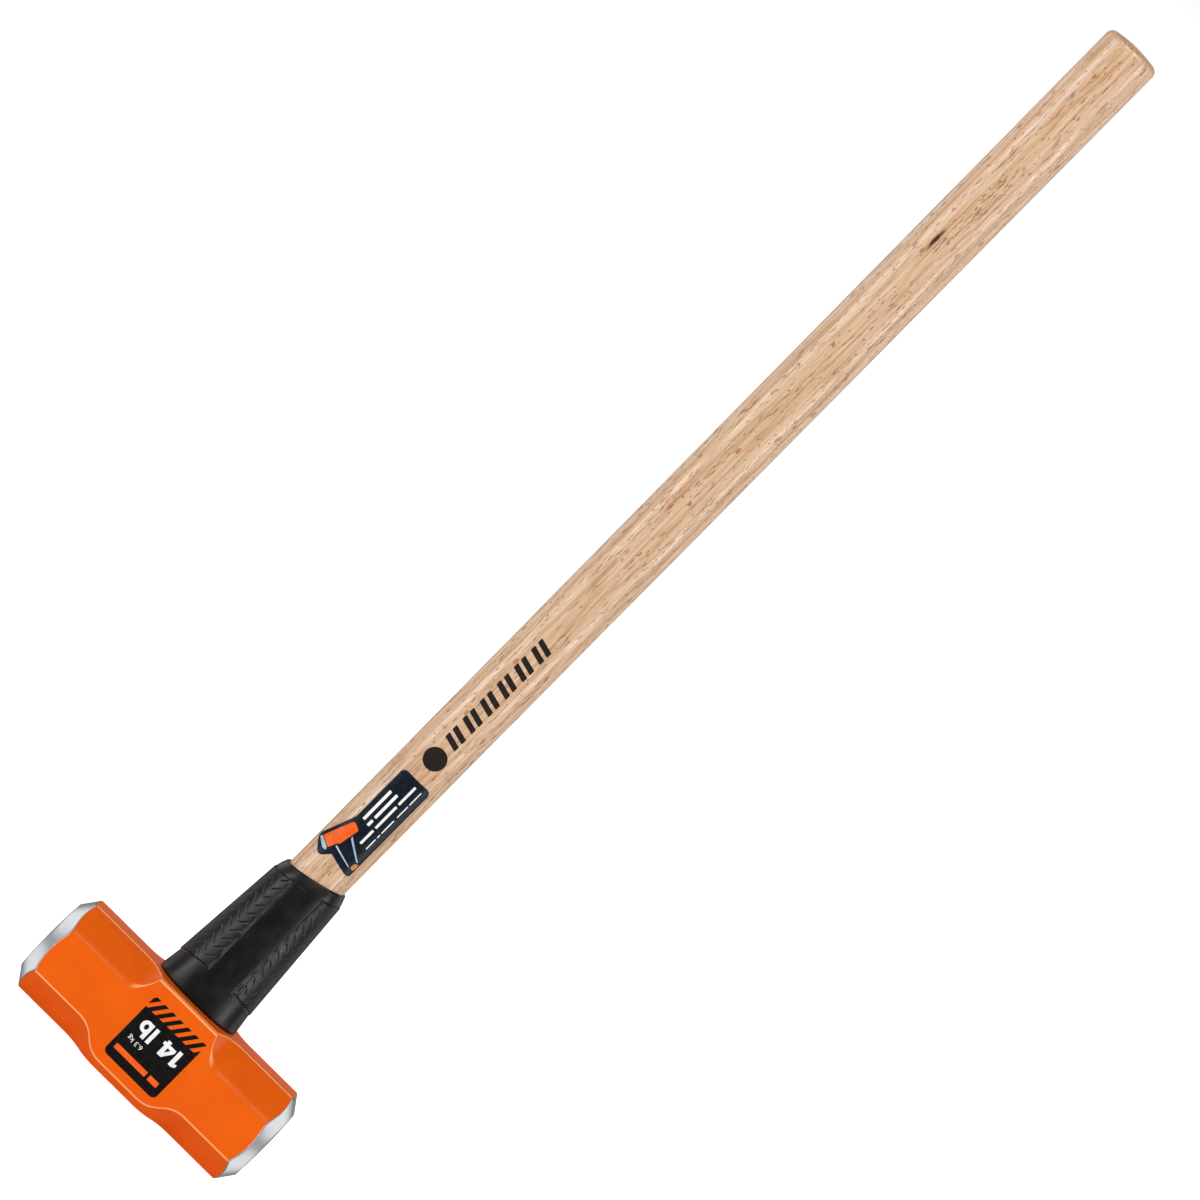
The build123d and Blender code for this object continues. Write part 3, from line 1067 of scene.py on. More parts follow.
@dataclass
class Head:
    """The forged head: a square bar with chamfered edges, ground ends and an oval eye."""

    chamfer_height: float = 19.0
    chamfer_depth: float = 23.0
    eye_share: float = 0.33
    runout_start: float = 17.0
    runout_end: float = 46.0
    upper_runout_end: float = 44.0
    upper_runout_radius: float = 20.0
    upper_eye_share: float = 0.07
    face_radius: float = 26.5
    face_crown: float = 1.0
    bevel_slope: float = 1.38
    edge_radius: float = 2.2
    soft_radius: float = 11.0
    soft_start: float = 28.0
    soft_end: float = 39.0
    arc_limit: float = 0.48
    corner_steps: int = 6
    side_steps: int = 5
    painted_shares: tuple[float, ...] = (0.5, 0.93, 1.0)
    cone_steps: int = 7
    crown_shares: tuple[float, ...] = (0.96, 0.85, 0.7, 0.55, 0.4, 0.25, 0.1)
    ground_edge: float = 0.5
    eye_columns: int = 120
    eye_rows: tuple[float, ...] = (-6.0, 0.0, 13.0, 27.0, 40.0, 56.0, 72.4, 78.4)

    @property
    def full_depth(self) -> float:
        """Depth of a full chamfer, measured square to it."""
        legs = self.chamfer_height, self.chamfer_depth
        return legs[0] * legs[1] / math.hypot(*legs)

    def lower_share(self, x: Points) -> Points:
        """Share of the full lower chamfer at stations along the head.

        It runs from eye_share to 1 on two equal tangent arcs of a depth curve. With D
        the rise and W the run, each arc's radius is (D^2 + W^2) / (4 D).

        Args:
            x: Stations along the head.

        Returns:
            The share at each station.
        """
        rise = self.full_depth * (1 - self.eye_share)
        run = self.runout_end - self.runout_start
        radius = (rise**2 + run**2) / (4 * rise)
        along = np.clip(np.abs(x) - self.runout_start, 0, run)
        first = radius - np.sqrt(radius**2 - np.minimum(along, run / 2) ** 2)
        second = radius - np.sqrt(radius**2 - np.minimum(run - along, run / 2) ** 2)
        depth = np.where(along < run / 2, first, rise - second)
        return self.eye_share + depth / self.full_depth

    def upper_share(self, x: Points) -> Points:
        """Share of the full upper chamfer: one arc that climbs to nothing beside the eye.

        Its depth is D - R + sqrt(R^2 - d^2), with d the distance from where the full
        chamfer ends.

        Args:
            x: Stations along the head.

        Returns:
            The share at each station.
        """
        radius = self.upper_runout_radius
        away = np.clip(self.upper_runout_end - np.abs(x), 0, radius)
        depth = self.full_depth - radius + np.sqrt(radius**2 - away**2)
        return np.maximum(depth / self.full_depth, self.upper_eye_share)

    def sections(self, x: Points) -> tuple[Points, Points]:
        """Eight-sided sections with rounded corners.

        Each corner is an arc between the tangent points of its two sides, which takes
        up to arc_limit of the shorter one, and each side is divided evenly between the
        arcs at its ends. The front and back corners of the upper chamfers widen from
        edge_radius to soft_radius between soft_start and soft_end.

        Args:
            x: Stations along the head.

        Returns:
            Points of shape (stations, columns, 2), as y and z from the head's axis,
            and how near each point is to the middle of a crisp corner, from 0 to 1.
        """
        h = np.full_like(x, HeadSizes.half)
        low, high = self.lower_share(x), self.upper_share(x)
        low_z, low_y = h - low * self.chamfer_height, h - low * self.chamfer_depth
        high_z, high_y = h - high * self.chamfer_height, h - high * self.chamfer_depth
        corners = np.stack(
            [
                np.stack(pair, axis=-1)
                for pair in (
                    (-h, high_z), (-h, -low_z), (-low_y, -h), (low_y, -h),
                    (h, -low_z), (h, high_z), (high_y, h), (-high_y, h),
                )
            ],
            axis=1,
        )
        blend = smoothstep(self.soft_start, self.soft_end, np.abs(x))[:, None]
        soft = np.array([1, 0, 0, 0, 0, 1, 0, 0])[None, :] * blend
        radius = self.edge_radius + (self.soft_radius - self.edge_radius) * soft
        before = corners - np.roll(corners, 1, axis=1)
        length = np.linalg.norm(before, axis=-1, keepdims=True)
        before /= length
        after = np.roll(before, -1, axis=1)
        turn = np.arccos(np.clip((before * after).sum(-1), -1, 1))[..., None]
        shorter = np.minimum(length, np.roll(length, -1, axis=1))
        radius = np.minimum(radius[..., None], self.arc_limit * shorter / np.tan(turn / 2))
        inward = np.stack([-before[..., 1], before[..., 0]], axis=-1)
        centre = corners - before * radius * np.tan(turn / 2) + inward * radius
        step = np.linspace(0, 1, self.corner_steps)[None, None, :, None]
        swing = step * turn[..., None, :]
        spread = -inward[:, :, None] * np.cos(swing) + before[:, :, None] * np.sin(swing)
        arcs = centre[:, :, None] + radius[..., None] * spread
        part = (np.arange(1, self.side_steps + 1) / (self.side_steps + 1))[None, None, :, None]
        start = arcs[:, :, -1:]
        end = np.roll(arcs[:, :, :1], -1, axis=1)
        sides = start + (end - start) * part
        ring = np.concatenate([arcs, sides], axis=2)
        middle = 1 - np.abs(2 * np.linspace(0, 1, self.corner_steps) - 1)
        nearness = np.concatenate([middle, np.zeros(self.side_steps)])
        crisp = (1 - soft)[..., None] * nearness
        return ring.reshape(len(x), -1, 2), crisp.reshape(len(x), -1)

    def build(self) -> Piece:
        """Builds the head's skin, cuts the eye and softens the ground edges.

        Stations run along X, closest where the chamfers run out. Near each end they
        stretch to the line where the painted flats meet the ground cone,
        x = face edge - (r - face radius) / slope. The cone then closes on the crowned
        striking face.

        Returns:
            The head's object.
        """
        crowded = [np.linspace(15, 24, 8), np.linspace(24.7, 31, 12), np.linspace(32, 52, 17)]
        half_stations = np.concatenate([[0, 6, 12], *crowded, [60]])
        x = np.concatenate([-half_stations[:0:-1], half_stations])
        ring, nearness = self.sections(x)
        columns = ring.shape[1]
        body = np.dstack([np.broadcast_to(x[:, None], ring.shape[:2]), ring])

        end_ring = ring[-1]
        face_edge = HeadSizes.length / 2 - self.face_crown
        meet = face_edge - (np.linalg.norm(end_ring, axis=1) - self.face_radius) / self.bevel_slope
        right = self._end_rows(x[-1], end_ring, meet)
        left = right[::-1] * (-1, 1, 1)
        rows = np.concatenate([left, body, right])
        pole = HeadSizes.length / 2
        points, faces = capped_loft(rows, (-pole, 0, 0), (pole, 0, 0))
        points[:, 2] += HeadSizes.half

        row_of_quad = np.repeat(np.arange(len(rows) - 1), columns)
        bare_rows = len(right) - len(self.painted_shares)
        bare = (row_of_quad < bare_rows) | (row_of_quad >= len(rows) - 1 - bare_rows)
        slots = np.concatenate([bare, np.ones(2 * columns)])
        materials = [OrangeEnamel().build(), GroundSteel().build(), ForgeScale().build()]
        head = mesh_object("forged_head", points, faces, materials, slots)
        # Nearness to crisp corners, which the enamel reads to paint a highlight on the crests.
        ends = np.broadcast_to(nearness[-1], (len(right), columns)).reshape(-1)
        add_point_values(head, "edge", np.concatenate([ends, nearness.reshape(-1), ends, [0, 0]]))
        cut_away(head, [self.eye_tool(materials[2])])
        soften_edges(head, self.ground_edge)
        return head

    def _end_rows(self, last_x: float, ring: Points, meet: Points) -> Points:
        """Rows from the last full station to the middle of a striking face.

        Args:
            last_x: The last full station.
            ring: Its points, as y and z from the head's axis.
            meet: x where each column's flat meets the cone.

        Returns:
            An array of rows of XYZ: painted flats, ground cone and crowned face.
        """
        radius = np.linalg.norm(ring, axis=1)
        heading = ring / radius[:, None]
        face_edge = HeadSizes.length / 2 - self.face_crown
        painted_x = last_x + (meet - last_x) * np.array(self.painted_shares)[:, None]
        painted_rows = np.dstack([painted_x, np.broadcast_to(ring, (len(painted_x), *ring.shape))])
        share = np.linspace(0, 1, self.cone_steps + 1)[1:, None]
        cone_radius = radius + (self.face_radius - radius) * share
        cone_x = meet + (face_edge - meet) * share
        cone_rows = np.dstack([cone_x, heading * cone_radius[..., None]])
        keep = np.array(self.crown_shares)[:, None] * np.ones_like(radius)
        crown_x = face_edge + self.face_crown * (1 - keep**2)
        crown_rows = np.dstack([crown_x, heading * (self.face_radius * keep)[..., None]])
        return np.concatenate([painted_rows, cone_rows, crown_rows])

    def eye_tool(self, scale: Material) -> Piece:
        """A closed oval plug, longer than the eye, that cuts it.

        Args:
            scale: What the cut faces show.

        Returns:
            The plug's object.
        """
        angle = np.linspace(0, 2 * np.pi, self.eye_columns, endpoint=False)
        heights = np.array(self.eye_rows)
        rows = EYE.ring(angle[None, :], heights[:, None])
        points, faces = capped_loft(rows, (0, 0, heights[0]), (0, 0, heights[-1]))
        return mesh_object("eye_plug", points, faces, [scale])

    def dress(self, head: Piece) -> None:
        """Puts the head in the CAD head's place."""
        place(head, ["head"])


# ------------------------------------------------------------------ the shock collar


@dataclass
class ShockCollar:
    """The rubber collar: a tapered oval sleeve with a slanted rim and cut side panels."""

    base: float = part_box("shock_collar")[0].z / MM
    rim: float = 181.3
    band_foot: float = 173.5
    slant: float = math.tan(math.radians(10.5))
    outside: Oval = Oval(((72.4, 32.4, 22.6), (88.0, 30.2, 21.4), (196.0, 22.0, 18.2)))
    lip: float = 1.6
    lip_steps: int = 4
    draw_in: float = 2.2
    draw_power: float = 1.6
    base_roll: float = 0.8
    base_roll_height: float = 1.6
    clearance: float = 0.08
    throat: float = 0.5
    bore_middle: float = 100.0
    panel_rise: float = 0.6
    panel_edge: float = 0.7
    groove_depth: float = 0.35
    groove_outside: float = 0.25
    groove_width: float = 0.4
    band_groove_depth: float = 0.3
    strip_left: float = -9.2
    strip_right: float = 13.4
    panel_base: float = 95.2
    panel_drop: float = 7.4
    cut_pitch: float = 7.4
    cut_row: float = 6.4
    cut_width: float = 1.1
    cut_depth: float = 0.28
    cut_stagger: float = 0.25
    cut_flank: tuple[float, float] = (0.2, 0.6)
    cut_end: tuple[float, float] = (0.08, 0.2)
    cut_margin: tuple[float, float] = (0.6, 2.0)
    columns: int = 380
    rows: int = 220

    def relief(self, x: Points, y: Points, z: Points) -> Points:
        """Height of the moulding above the plain sleeve.

        The panels rise by panel_rise inside their outline, a groove follows the
        outline, and rows of slanted cuts cross them. Row k of the cuts lies between
        k and k + 1 times cut_row from the centre strip, round the sleeve, and leans
        one way when k is even and the other when it is odd. Each cut fades out across
        its flank, at its ends and near the panel's outline.

        Args:
            x, y, z: Points on the plain sleeve.

        Returns:
            Height in millimetres.
        """
        half_width, half_depth = self.outside.halves(z)
        from_strip = np.maximum(self.strip_left - x, x - self.strip_right)
        base_line = self.panel_base - self.panel_drop * (1 - np.abs(y) / half_depth)
        from_base = z - base_line
        from_band = self.band_foot + self.slant * x - z
        inside = np.minimum(np.minimum(from_strip, from_base), from_band)
        panel = self.panel_rise * smoothstep(0.0, self.panel_edge, inside)
        groove = self.groove_depth * np.exp(-(((inside + self.groove_outside) / self.groove_width) ** 2))
        band = self.band_groove_depth * np.exp(-((from_band / self.groove_width) ** 2)) * (from_strip < 0)
        around = self._round_the_side(x, y, half_width, half_depth)
        row = around / self.cut_row
        part = row - np.floor(row)
        lean = np.where(np.floor(row) % 2 < 1, 1.0, -1.0)
        phase = (z + lean * (part - 0.5) * self.cut_row) / self.cut_pitch + self.cut_stagger * (lean > 0)
        off_cut = np.abs(phase - np.round(phase)) * self.cut_pitch
        cut = self.cut_depth * (1 - smoothstep(*self.cut_flank, off_cut / self.cut_width))
        cut = cut * smoothstep(*self.cut_end, part) * smoothstep(*self.cut_end, 1 - part)
        cut = cut * smoothstep(*self.cut_margin, inside)
        return panel - groove - band - cut

    def _round_the_side(self, x: Points, y: Points, half_width: Points, half_depth: Points) -> Points:
        """Distance round the sleeve from the centre strip's edge, front or back alike.

        The angle about the axis, measured from the front and back in the section
        squeezed to a circle, times the section's mean half size.

        Args:
            x, y: Points on the plain sleeve.
            half_width, half_depth: The section's half sizes at each point.

        Returns:
            The distance in millimetres, and 0 on the strip.
        """
        squeezed = np.arctan2(np.abs(x) / half_width, np.abs(y) / half_depth)
        edge = np.where(x > 0, self.strip_right, -self.strip_left) / half_width
        start = np.arcsin(np.clip(edge, 0, 1))
        return np.clip(squeezed - start, 0, None) * (half_width + half_depth) / 2

    def build(self) -> Piece:
        """Builds the sleeve's outside with its relief, then the rim, the bore and the base.

        Row u of column t lies at base + u (rim(t) - base), where rim(t) slants with x.
        The band above the panels draws in as draw_in v^draw_power, with v from 0 to 1
        up the band, and ends in a small arc. The sleeve then turns down its bore on the
        handle and closes at the base.

        Returns:
            The collar's object.
        """
        angle = np.linspace(0, 2 * np.pi, self.columns, endpoint=False)
        rim_x = self.outside.ring(angle, np.full(self.columns, self.rim))[:, 0]
        top = self.rim + self.slant * rim_x
        rim_z = top - self.lip
        share = np.linspace(0, 1, self.rows)[:, None]
        height = self.base + share * (rim_z - self.base)
        plain = self.outside.ring(angle[None, :], height)
        lift = self.relief(plain[..., 0], plain[..., 1], plain[..., 2])
        band_height = self.rim - self.band_foot
        up_band = np.clip(height - (top - band_height), 0, None) / band_height
        draw_in = self.draw_in * up_band**self.draw_power
        base_roll = self.base_roll * (1 - smoothstep(0.0, self.base_roll_height, height - self.base))
        outer = self.outside.ring(angle[None, :], height, lift - draw_in - base_roll)

        turn = np.linspace(0, np.pi / 2, self.lip_steps + 1)[1:, None]
        lip_grow = -draw_in[-1] - self.lip * (1 - np.cos(turn))
        lip_z = rim_z + self.lip * np.sin(turn)
        lip_rows = self.outside.ring(angle[None, :], np.broadcast_to(rim_z, lip_z.shape), lip_grow)
        lip_rows[..., 2] = lip_z
        inner_top = SHAFT.ring(angle, top - self.throat, self.clearance)
        throat = SHAFT.ring(angle, top, self.clearance + self.throat)
        low = SHAFT.ring(angle, np.full(self.columns, self.base), self.clearance)
        middle = SHAFT.ring(angle, np.full(self.columns, self.bore_middle), self.clearance)
        rows = np.concatenate([outer, lip_rows, np.stack([throat, inner_top, middle, low])])
        points = rows.reshape(-1, 3)
        quads = grid_faces(len(rows), self.columns)
        column = np.arange(self.columns)
        following = (column + 1) % self.columns
        last = (len(rows) - 1) * self.columns
        base_ring = np.stack([last + column, last + following, following, column], axis=-1)
        faces = quads.tolist() + base_ring.tolist()
        collar = mesh_object("rubber_shock_collar", points, faces, [BlackRubber().build()])
        raised = np.zeros(len(points))
        raised[: lift.size] = np.clip(lift / self.panel_rise, 0, 1).reshape(-1)
        add_point_values(collar, "raised", raised)
        return collar

    def dress(self, collar: Piece) -> None:
        """Puts the collar in the CAD collar's place."""
        place(collar, ["shock_collar"])


# ------------------------------------------------------------------ labels and marks


def rounded(corners: Sequence, radius: float | Sequence[float], steps: int = 6) -> Points:
    """A closed outline with an arc at each corner.

    Args:
        corners: The corners in order, as pairs.
        radius: One radius, or one for each corner.
        steps: Points on each arc.

    Returns:
        An array of the outline's points.
    """
    points = np.array(corners, float)
    radii = np.broadcast_to(np.asarray(radius, float), len(points))[:, None]
    before = points - np.roll(points, 1, axis=0)
    after = np.roll(points, -1, axis=0) - points
    before /= np.linalg.norm(before, axis=1, keepdims=True)
    after /= np.linalg.norm(after, axis=1, keepdims=True)
    cross = before[:, 0] * after[:, 1] - before[:, 1] * after[:, 0]
    turn = np.arctan2(cross, (before * after).sum(1))[:, None]
    side = np.sign(turn)
    inward = np.column_stack([-before[:, 1], before[:, 0]]) * side
    centre = points - before * radii * np.tan(np.abs(turn) / 2) + inward * radii
    swing = np.linspace(0, 1, steps)[None, :] * np.abs(turn)
    arc = -inward[:, None] * np.cos(swing)[..., None] + before[:, None] * np.sin(swing)[..., None]
    return (centre[:, None] + radii[:, None] * arc).reshape(-1, 2)


def flat_shapes(outlines: Sequence[Points], slice_width: float | None = None) -> FlatMesh:
    """Fills outlines in the XZ plane, cut into upright slices so that they can bend.

    Args:
        outlines: Closed outlines of (x, z) points; one inside another makes a hole.
        slice_width: Width of the slices, or None for none.

    Returns:
        The filled mesh.
    """
    curve = bpy.data.curves.new("outlines", "CURVE")
    curve.dimensions = "2D"
    curve.fill_mode = "BOTH"
    for outline in outlines:
        spline = curve.splines.new("POLY")
        spline.points.add(len(outline) - 1)
        flat = np.column_stack([outline, np.zeros(len(outline)), np.ones(len(outline))])
        spline.points.foreach_set("co", flat.reshape(-1))
        spline.use_cyclic_u = True
    shape = filled(curve)
    for vertex in shape.verts:
        vertex.co = (vertex.co.x, 0.0, vertex.co.y)
    if slice_width:
        slice_upright(shape, slice_width)
    return shape


def filled(curve: bpy.types.Curve) -> FlatMesh:
    """Turns a flat curve or lettering into a mesh.

    Args:
        curve: The curve, with its outlines in millimetres.

    Returns:
        The filled mesh, in the XY plane.
    """
    carrier = bpy.data.objects.new(curve.name, curve)
    bpy.context.scene.collection.objects.link(carrier)
    bpy.context.view_layer.update()
    graph = bpy.context.evaluated_depsgraph_get()
    mesh = bpy.data.meshes.new_from_object(carrier.evaluated_get(graph))
    shape = bmesh.new()
    shape.from_mesh(mesh)
    bmesh.ops.remove_doubles(shape, verts=shape.verts[:], dist=CURVE_MERGE_DISTANCE)
    bpy.data.objects.remove(carrier)
    bpy.data.meshes.remove(mesh)
    return shape


def slice_upright(shape: FlatMesh, width: float) -> None:
    """Cuts a flat mesh with upright planes, placed off the round numbers.

    Args:
        shape: Mesh in the XZ plane.
        width: Distance between the planes.
    """
    x = [vertex.co.x for vertex in shape.verts]
    first = (math.floor(min(x) / width) + SLICE_OFFSET) * width
    for place_x in np.arange(first, max(x), width):
        bmesh.ops.bisect_plane(
            shape,
            geom=shape.verts[:] + shape.edges[:] + shape.faces[:],
            plane_co=(place_x, 0, 0),
            plane_no=(1, 0, 0),
        )
    bmesh.ops.remove_doubles(shape, verts=shape.verts[:], dist=MERGE_DISTANCE)


def thin_piece(
    name: str,
    shape: FlatMesh,
    surface: Surface,
    lift: float,
    thickness: float,
    ink: Ink,
) -> Piece:
    """Lays a flat mesh on the front of the tool and gives it a thickness.

    Args:
        name: The piece's name.
        shape: Mesh in the XZ plane, in millimetres.
        surface: Gives y from x, z and the height above the surface.
        lift: Height of the piece's underside above the surface.
        thickness: The piece's thickness.
        ink: What it is printed with.

    Returns:
        The closed thin piece.
    """
    shape.verts.index_update()
    flat = np.array([vertex.co[:] for vertex in shape.verts])
    faces = [[vertex.index for vertex in face.verts] for face in shape.faces]
    first = flat[faces[0]] - flat[faces[0][0]]
    area = np.cross(first, np.roll(first, -1, axis=0))[:, 1].sum()
    faces = faces if area < 0 else [face[::-1] for face in faces]
    shape.free()
    halves = [pair for face in faces for pair in zip(face, face[1:] + face[:1])]
    both = set(halves)
    walls = [[b, a, a + len(flat), b + len(flat)][::-1] for a, b in halves if (b, a) not in both]
    under, over = flat.copy(), flat.copy()
    under[:, 1] = surface(flat[:, 0], flat[:, 2], lift)
    over[:, 1] = surface(flat[:, 0], flat[:, 2], lift + thickness)
    top = [[i + len(flat) for i in face] for face in faces]
    bottom = [face[::-1] for face in faces]
    return mesh_object(name, np.concatenate([under, over]), top + bottom + walls, [ink.material()])


def head_front(x: Points, z: Points, lift: float) -> Points:
    """y on the head's front flat, a height above it."""
    return np.full_like(x, -HeadSizes.half - lift)


def handle_front(x: Points, z: Points, lift: float) -> Points:
    """y on the front of the handle, a height above it."""
    return SHAFT.front(x, z, lift)


def small_text(words: str, height: float, corner: tuple[float, float], stretch: float) -> FlatMesh:
    """Plain lettering in the XZ plane, upside down, as it is read with the head up.

    Args:
        words: What it says.
        height: Height of a figure, in millimetres.
        corner: Where the first letter's foot starts, as (x, z).
        stretch: Width as a share of the plain letters' width.

    Returns:
        The lettering's mesh.
    """
    curve = bpy.data.curves.new("lettering", "FONT")
    curve.body = words
    curve.size = height / CAP_HEIGHT
    curve.resolution_u = 4
    shape = filled(curve)
    for vertex in shape.verts:
        across, up, _ = vertex.co
        vertex.co = (corner[0] - across * stretch, 0.0, corner[1] - up)
    return shape


def ellipse(
    centre: Sequence[float],
    radii: Sequence[float],
    start: float = 0.0,
    stop: float = 360.0,
    count: int = 24,
) -> Points:
    """Points on an ellipse.

    Args:
        centre: Its middle.
        radii: Its two radii.
        start: Angle of the first point, in degrees.
        stop: Angle of the last point.
        count: Number of points.

    Returns:
        An array of pairs.
    """
    angle = np.radians(np.linspace(start, stop, count))
    return np.column_stack([centre[0] + radii[0] * np.cos(angle), centre[1] + radii[1] * np.sin(angle)])


@dataclass(frozen=True)
class WeightMark:
    """The head's weight, 14 lb, drawn as plain bold outlines.

    Outlines run from the figures' left foot, u to the right and v up, in millimetres.
    """

    left: float = 20.2
    foot: float = 47.6

    def figures(self) -> list[Points]:
        """Draws the two figures and the two letters.

        Returns:
            Their outlines, with their holes.
        """
        one = [(2.5, 11.5), (4.95, 11.5), (4.95, 0), (2.05, 0), (2.05, 8.7), (0, 8.1), (0, 10.3)]
        four = [
            (14.7, 11.5), (14.7, 4.3), (16.2, 4.3), (16.2, 1.9), (14.7, 1.9), (14.7, 0),
            (11.8, 0), (11.8, 1.9), (6.3, 1.9), (6.3, 4.3), (11.2, 11.5),
        ]
        hole = [(11.8, 4.3), (9.2, 4.3), (11.8, 8.2)]
        letter_l = [(22.4, 0), (25.1, 0), (25.1, 11.7), (22.4, 11.7)]
        bowl_centre = (30.6, 4.15)
        bowl = ellipse(bowl_centre, (4.1, 4.35), 104, -104, 26)
        letter_b = np.concatenate([[(26.8, 0), (26.8, 11.7), (29.6, 11.7)], bowl, [(29.6, 0)]])
        bowl_hole = ellipse(bowl_centre, (1.45, 1.95), stop=345.0)
        return [np.array(shape, float) for shape in (one, four, hole, letter_l, letter_b, bowl_hole)]

    def shape(self) -> FlatMesh:
        """The mark on the head's front: u runs to -X and v runs down."""
        return flat_shapes([(self.left, self.foot) - figure for figure in self.figures()])


@dataclass
class HeadLabel:
    """The black film on the head's front: weight marks, plain bars and slanted stripes."""

    left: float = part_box("head_label")[0].x / MM
    right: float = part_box("head_label")[1].x / MM
    bottom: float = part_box("head_label")[0].z / MM
    stripe_top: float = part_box("head_label")[1].z / MM
    top: float = 52.8
    corner: float = 3.6
    crisp_corner: float = 0.3
    stripes: int = 8
    stripe_pitch: float = 6.7
    stripe_width: float = 3.4
    stripe_start: float = -25.2
    stripe_lean: float = 6.7
    film: float = 0.10
    ink: float = 0.03
    kilograms: str = "6.3 kg"
    kilogram_height: float = 3.4
    kilogram_start: tuple[float, float] = (-2.6, 32.6)
    kilogram_stretch: float = 1.08
    bar_low: float = 19.6
    bar_high: float = 23.4
    bar_spans: tuple[tuple[float, float], ...] = ((-16.6, 10.4), (12.6, 20.4))
    bar_corner: float = 0.5

    def stripe(self, index: int) -> Points:
        """Draws one slanted stripe.

        Args:
            index: Its place in the row, from the left.

        Returns:
            Its outline, clipped to the film's width, and empty when it is outside.
        """
        foot = self.stripe_start + index * self.stripe_pitch
        corners = np.array(
            [
                (foot, self.top),
                (foot + self.stripe_width, self.top),
                (foot + self.stripe_width + self.stripe_lean, self.stripe_top),
                (foot + self.stripe_lean, self.stripe_top),
            ]
        )
        return clip_sides(corners, self.left, self.right)

    def build(self) -> list[tuple[Piece, bool]]:
        """Builds the film and its print.

        Returns:
            Each piece, and whether it is the film itself.
        """
        corners = [
            (self.left, self.bottom),
            (self.right, self.bottom),
            (self.right, self.top),
            (self.left, self.top),
        ]
        panel = rounded(corners, [self.corner] * 2 + [self.crisp_corner] * 2)
        stripes = [stripe for stripe in map(self.stripe, range(self.stripes)) if len(stripe) > 2]
        backing = flat_shapes([panel, *stripes])
        film = thin_piece("head_label_film", backing, head_front, 0.0, self.film, Ink.BLACK_FILM)
        kilograms = small_text(
            self.kilograms, self.kilogram_height, self.kilogram_start, self.kilogram_stretch
        )
        pieces = [(film, True)]
        for name, shape, ink in (
            ("weight_mark", WeightMark().shape(), Ink.WHITE),
            ("kilogram_mark", kilograms, Ink.WHITE),
            ("label_bars", flat_shapes(self.bars()), Ink.ORANGE),
        ):
            pieces.append((thin_piece(name, shape, head_front, self.film, self.ink, ink), False))
        return pieces

    def bars(self) -> list[Points]:
        """Draws plain bars where the label has a line of print: one long, one short.

        Returns:
            Their outlines.
        """
        low, high = self.bar_low, self.bar_high
        boxes = [[(a, low), (b, low), (b, high), (a, high)] for a, b in self.bar_spans]
        return [rounded(box, self.bar_corner) for box in boxes]

    def dress(self, pieces: list[tuple[Piece, bool]]) -> None:
        """Puts the film in the CAD label's place and its print on it."""
        for piece, is_film in pieces:
            place(piece, ["head_label"] if is_film else [])


def clip_sides(outline: Points, low: float, high: float) -> Points:
    """Clips a convex outline to low <= x <= high, by cutting each edge that crosses.

    Args:
        outline: Array of pairs.
        low: The lower limit.
        high: The upper limit.

    Returns:
        The clipped outline.
    """
    for limit, sign in ((low, 1.0), (high, -1.0)):
        if len(outline) == 0:
            break
        inside = sign * (outline[:, 0] - limit)
        following = np.roll(outline, -1, axis=0)
        next_inside = np.roll(inside, -1)
        kept = []
        for point, after, here, there in zip(outline, following, inside, next_inside):
            if here >= 0:
                kept.append(point)
            if here * there < 0:
                kept.append(point + (after - point) * here / (here - there))
        outline = np.array(kept)
    return outline


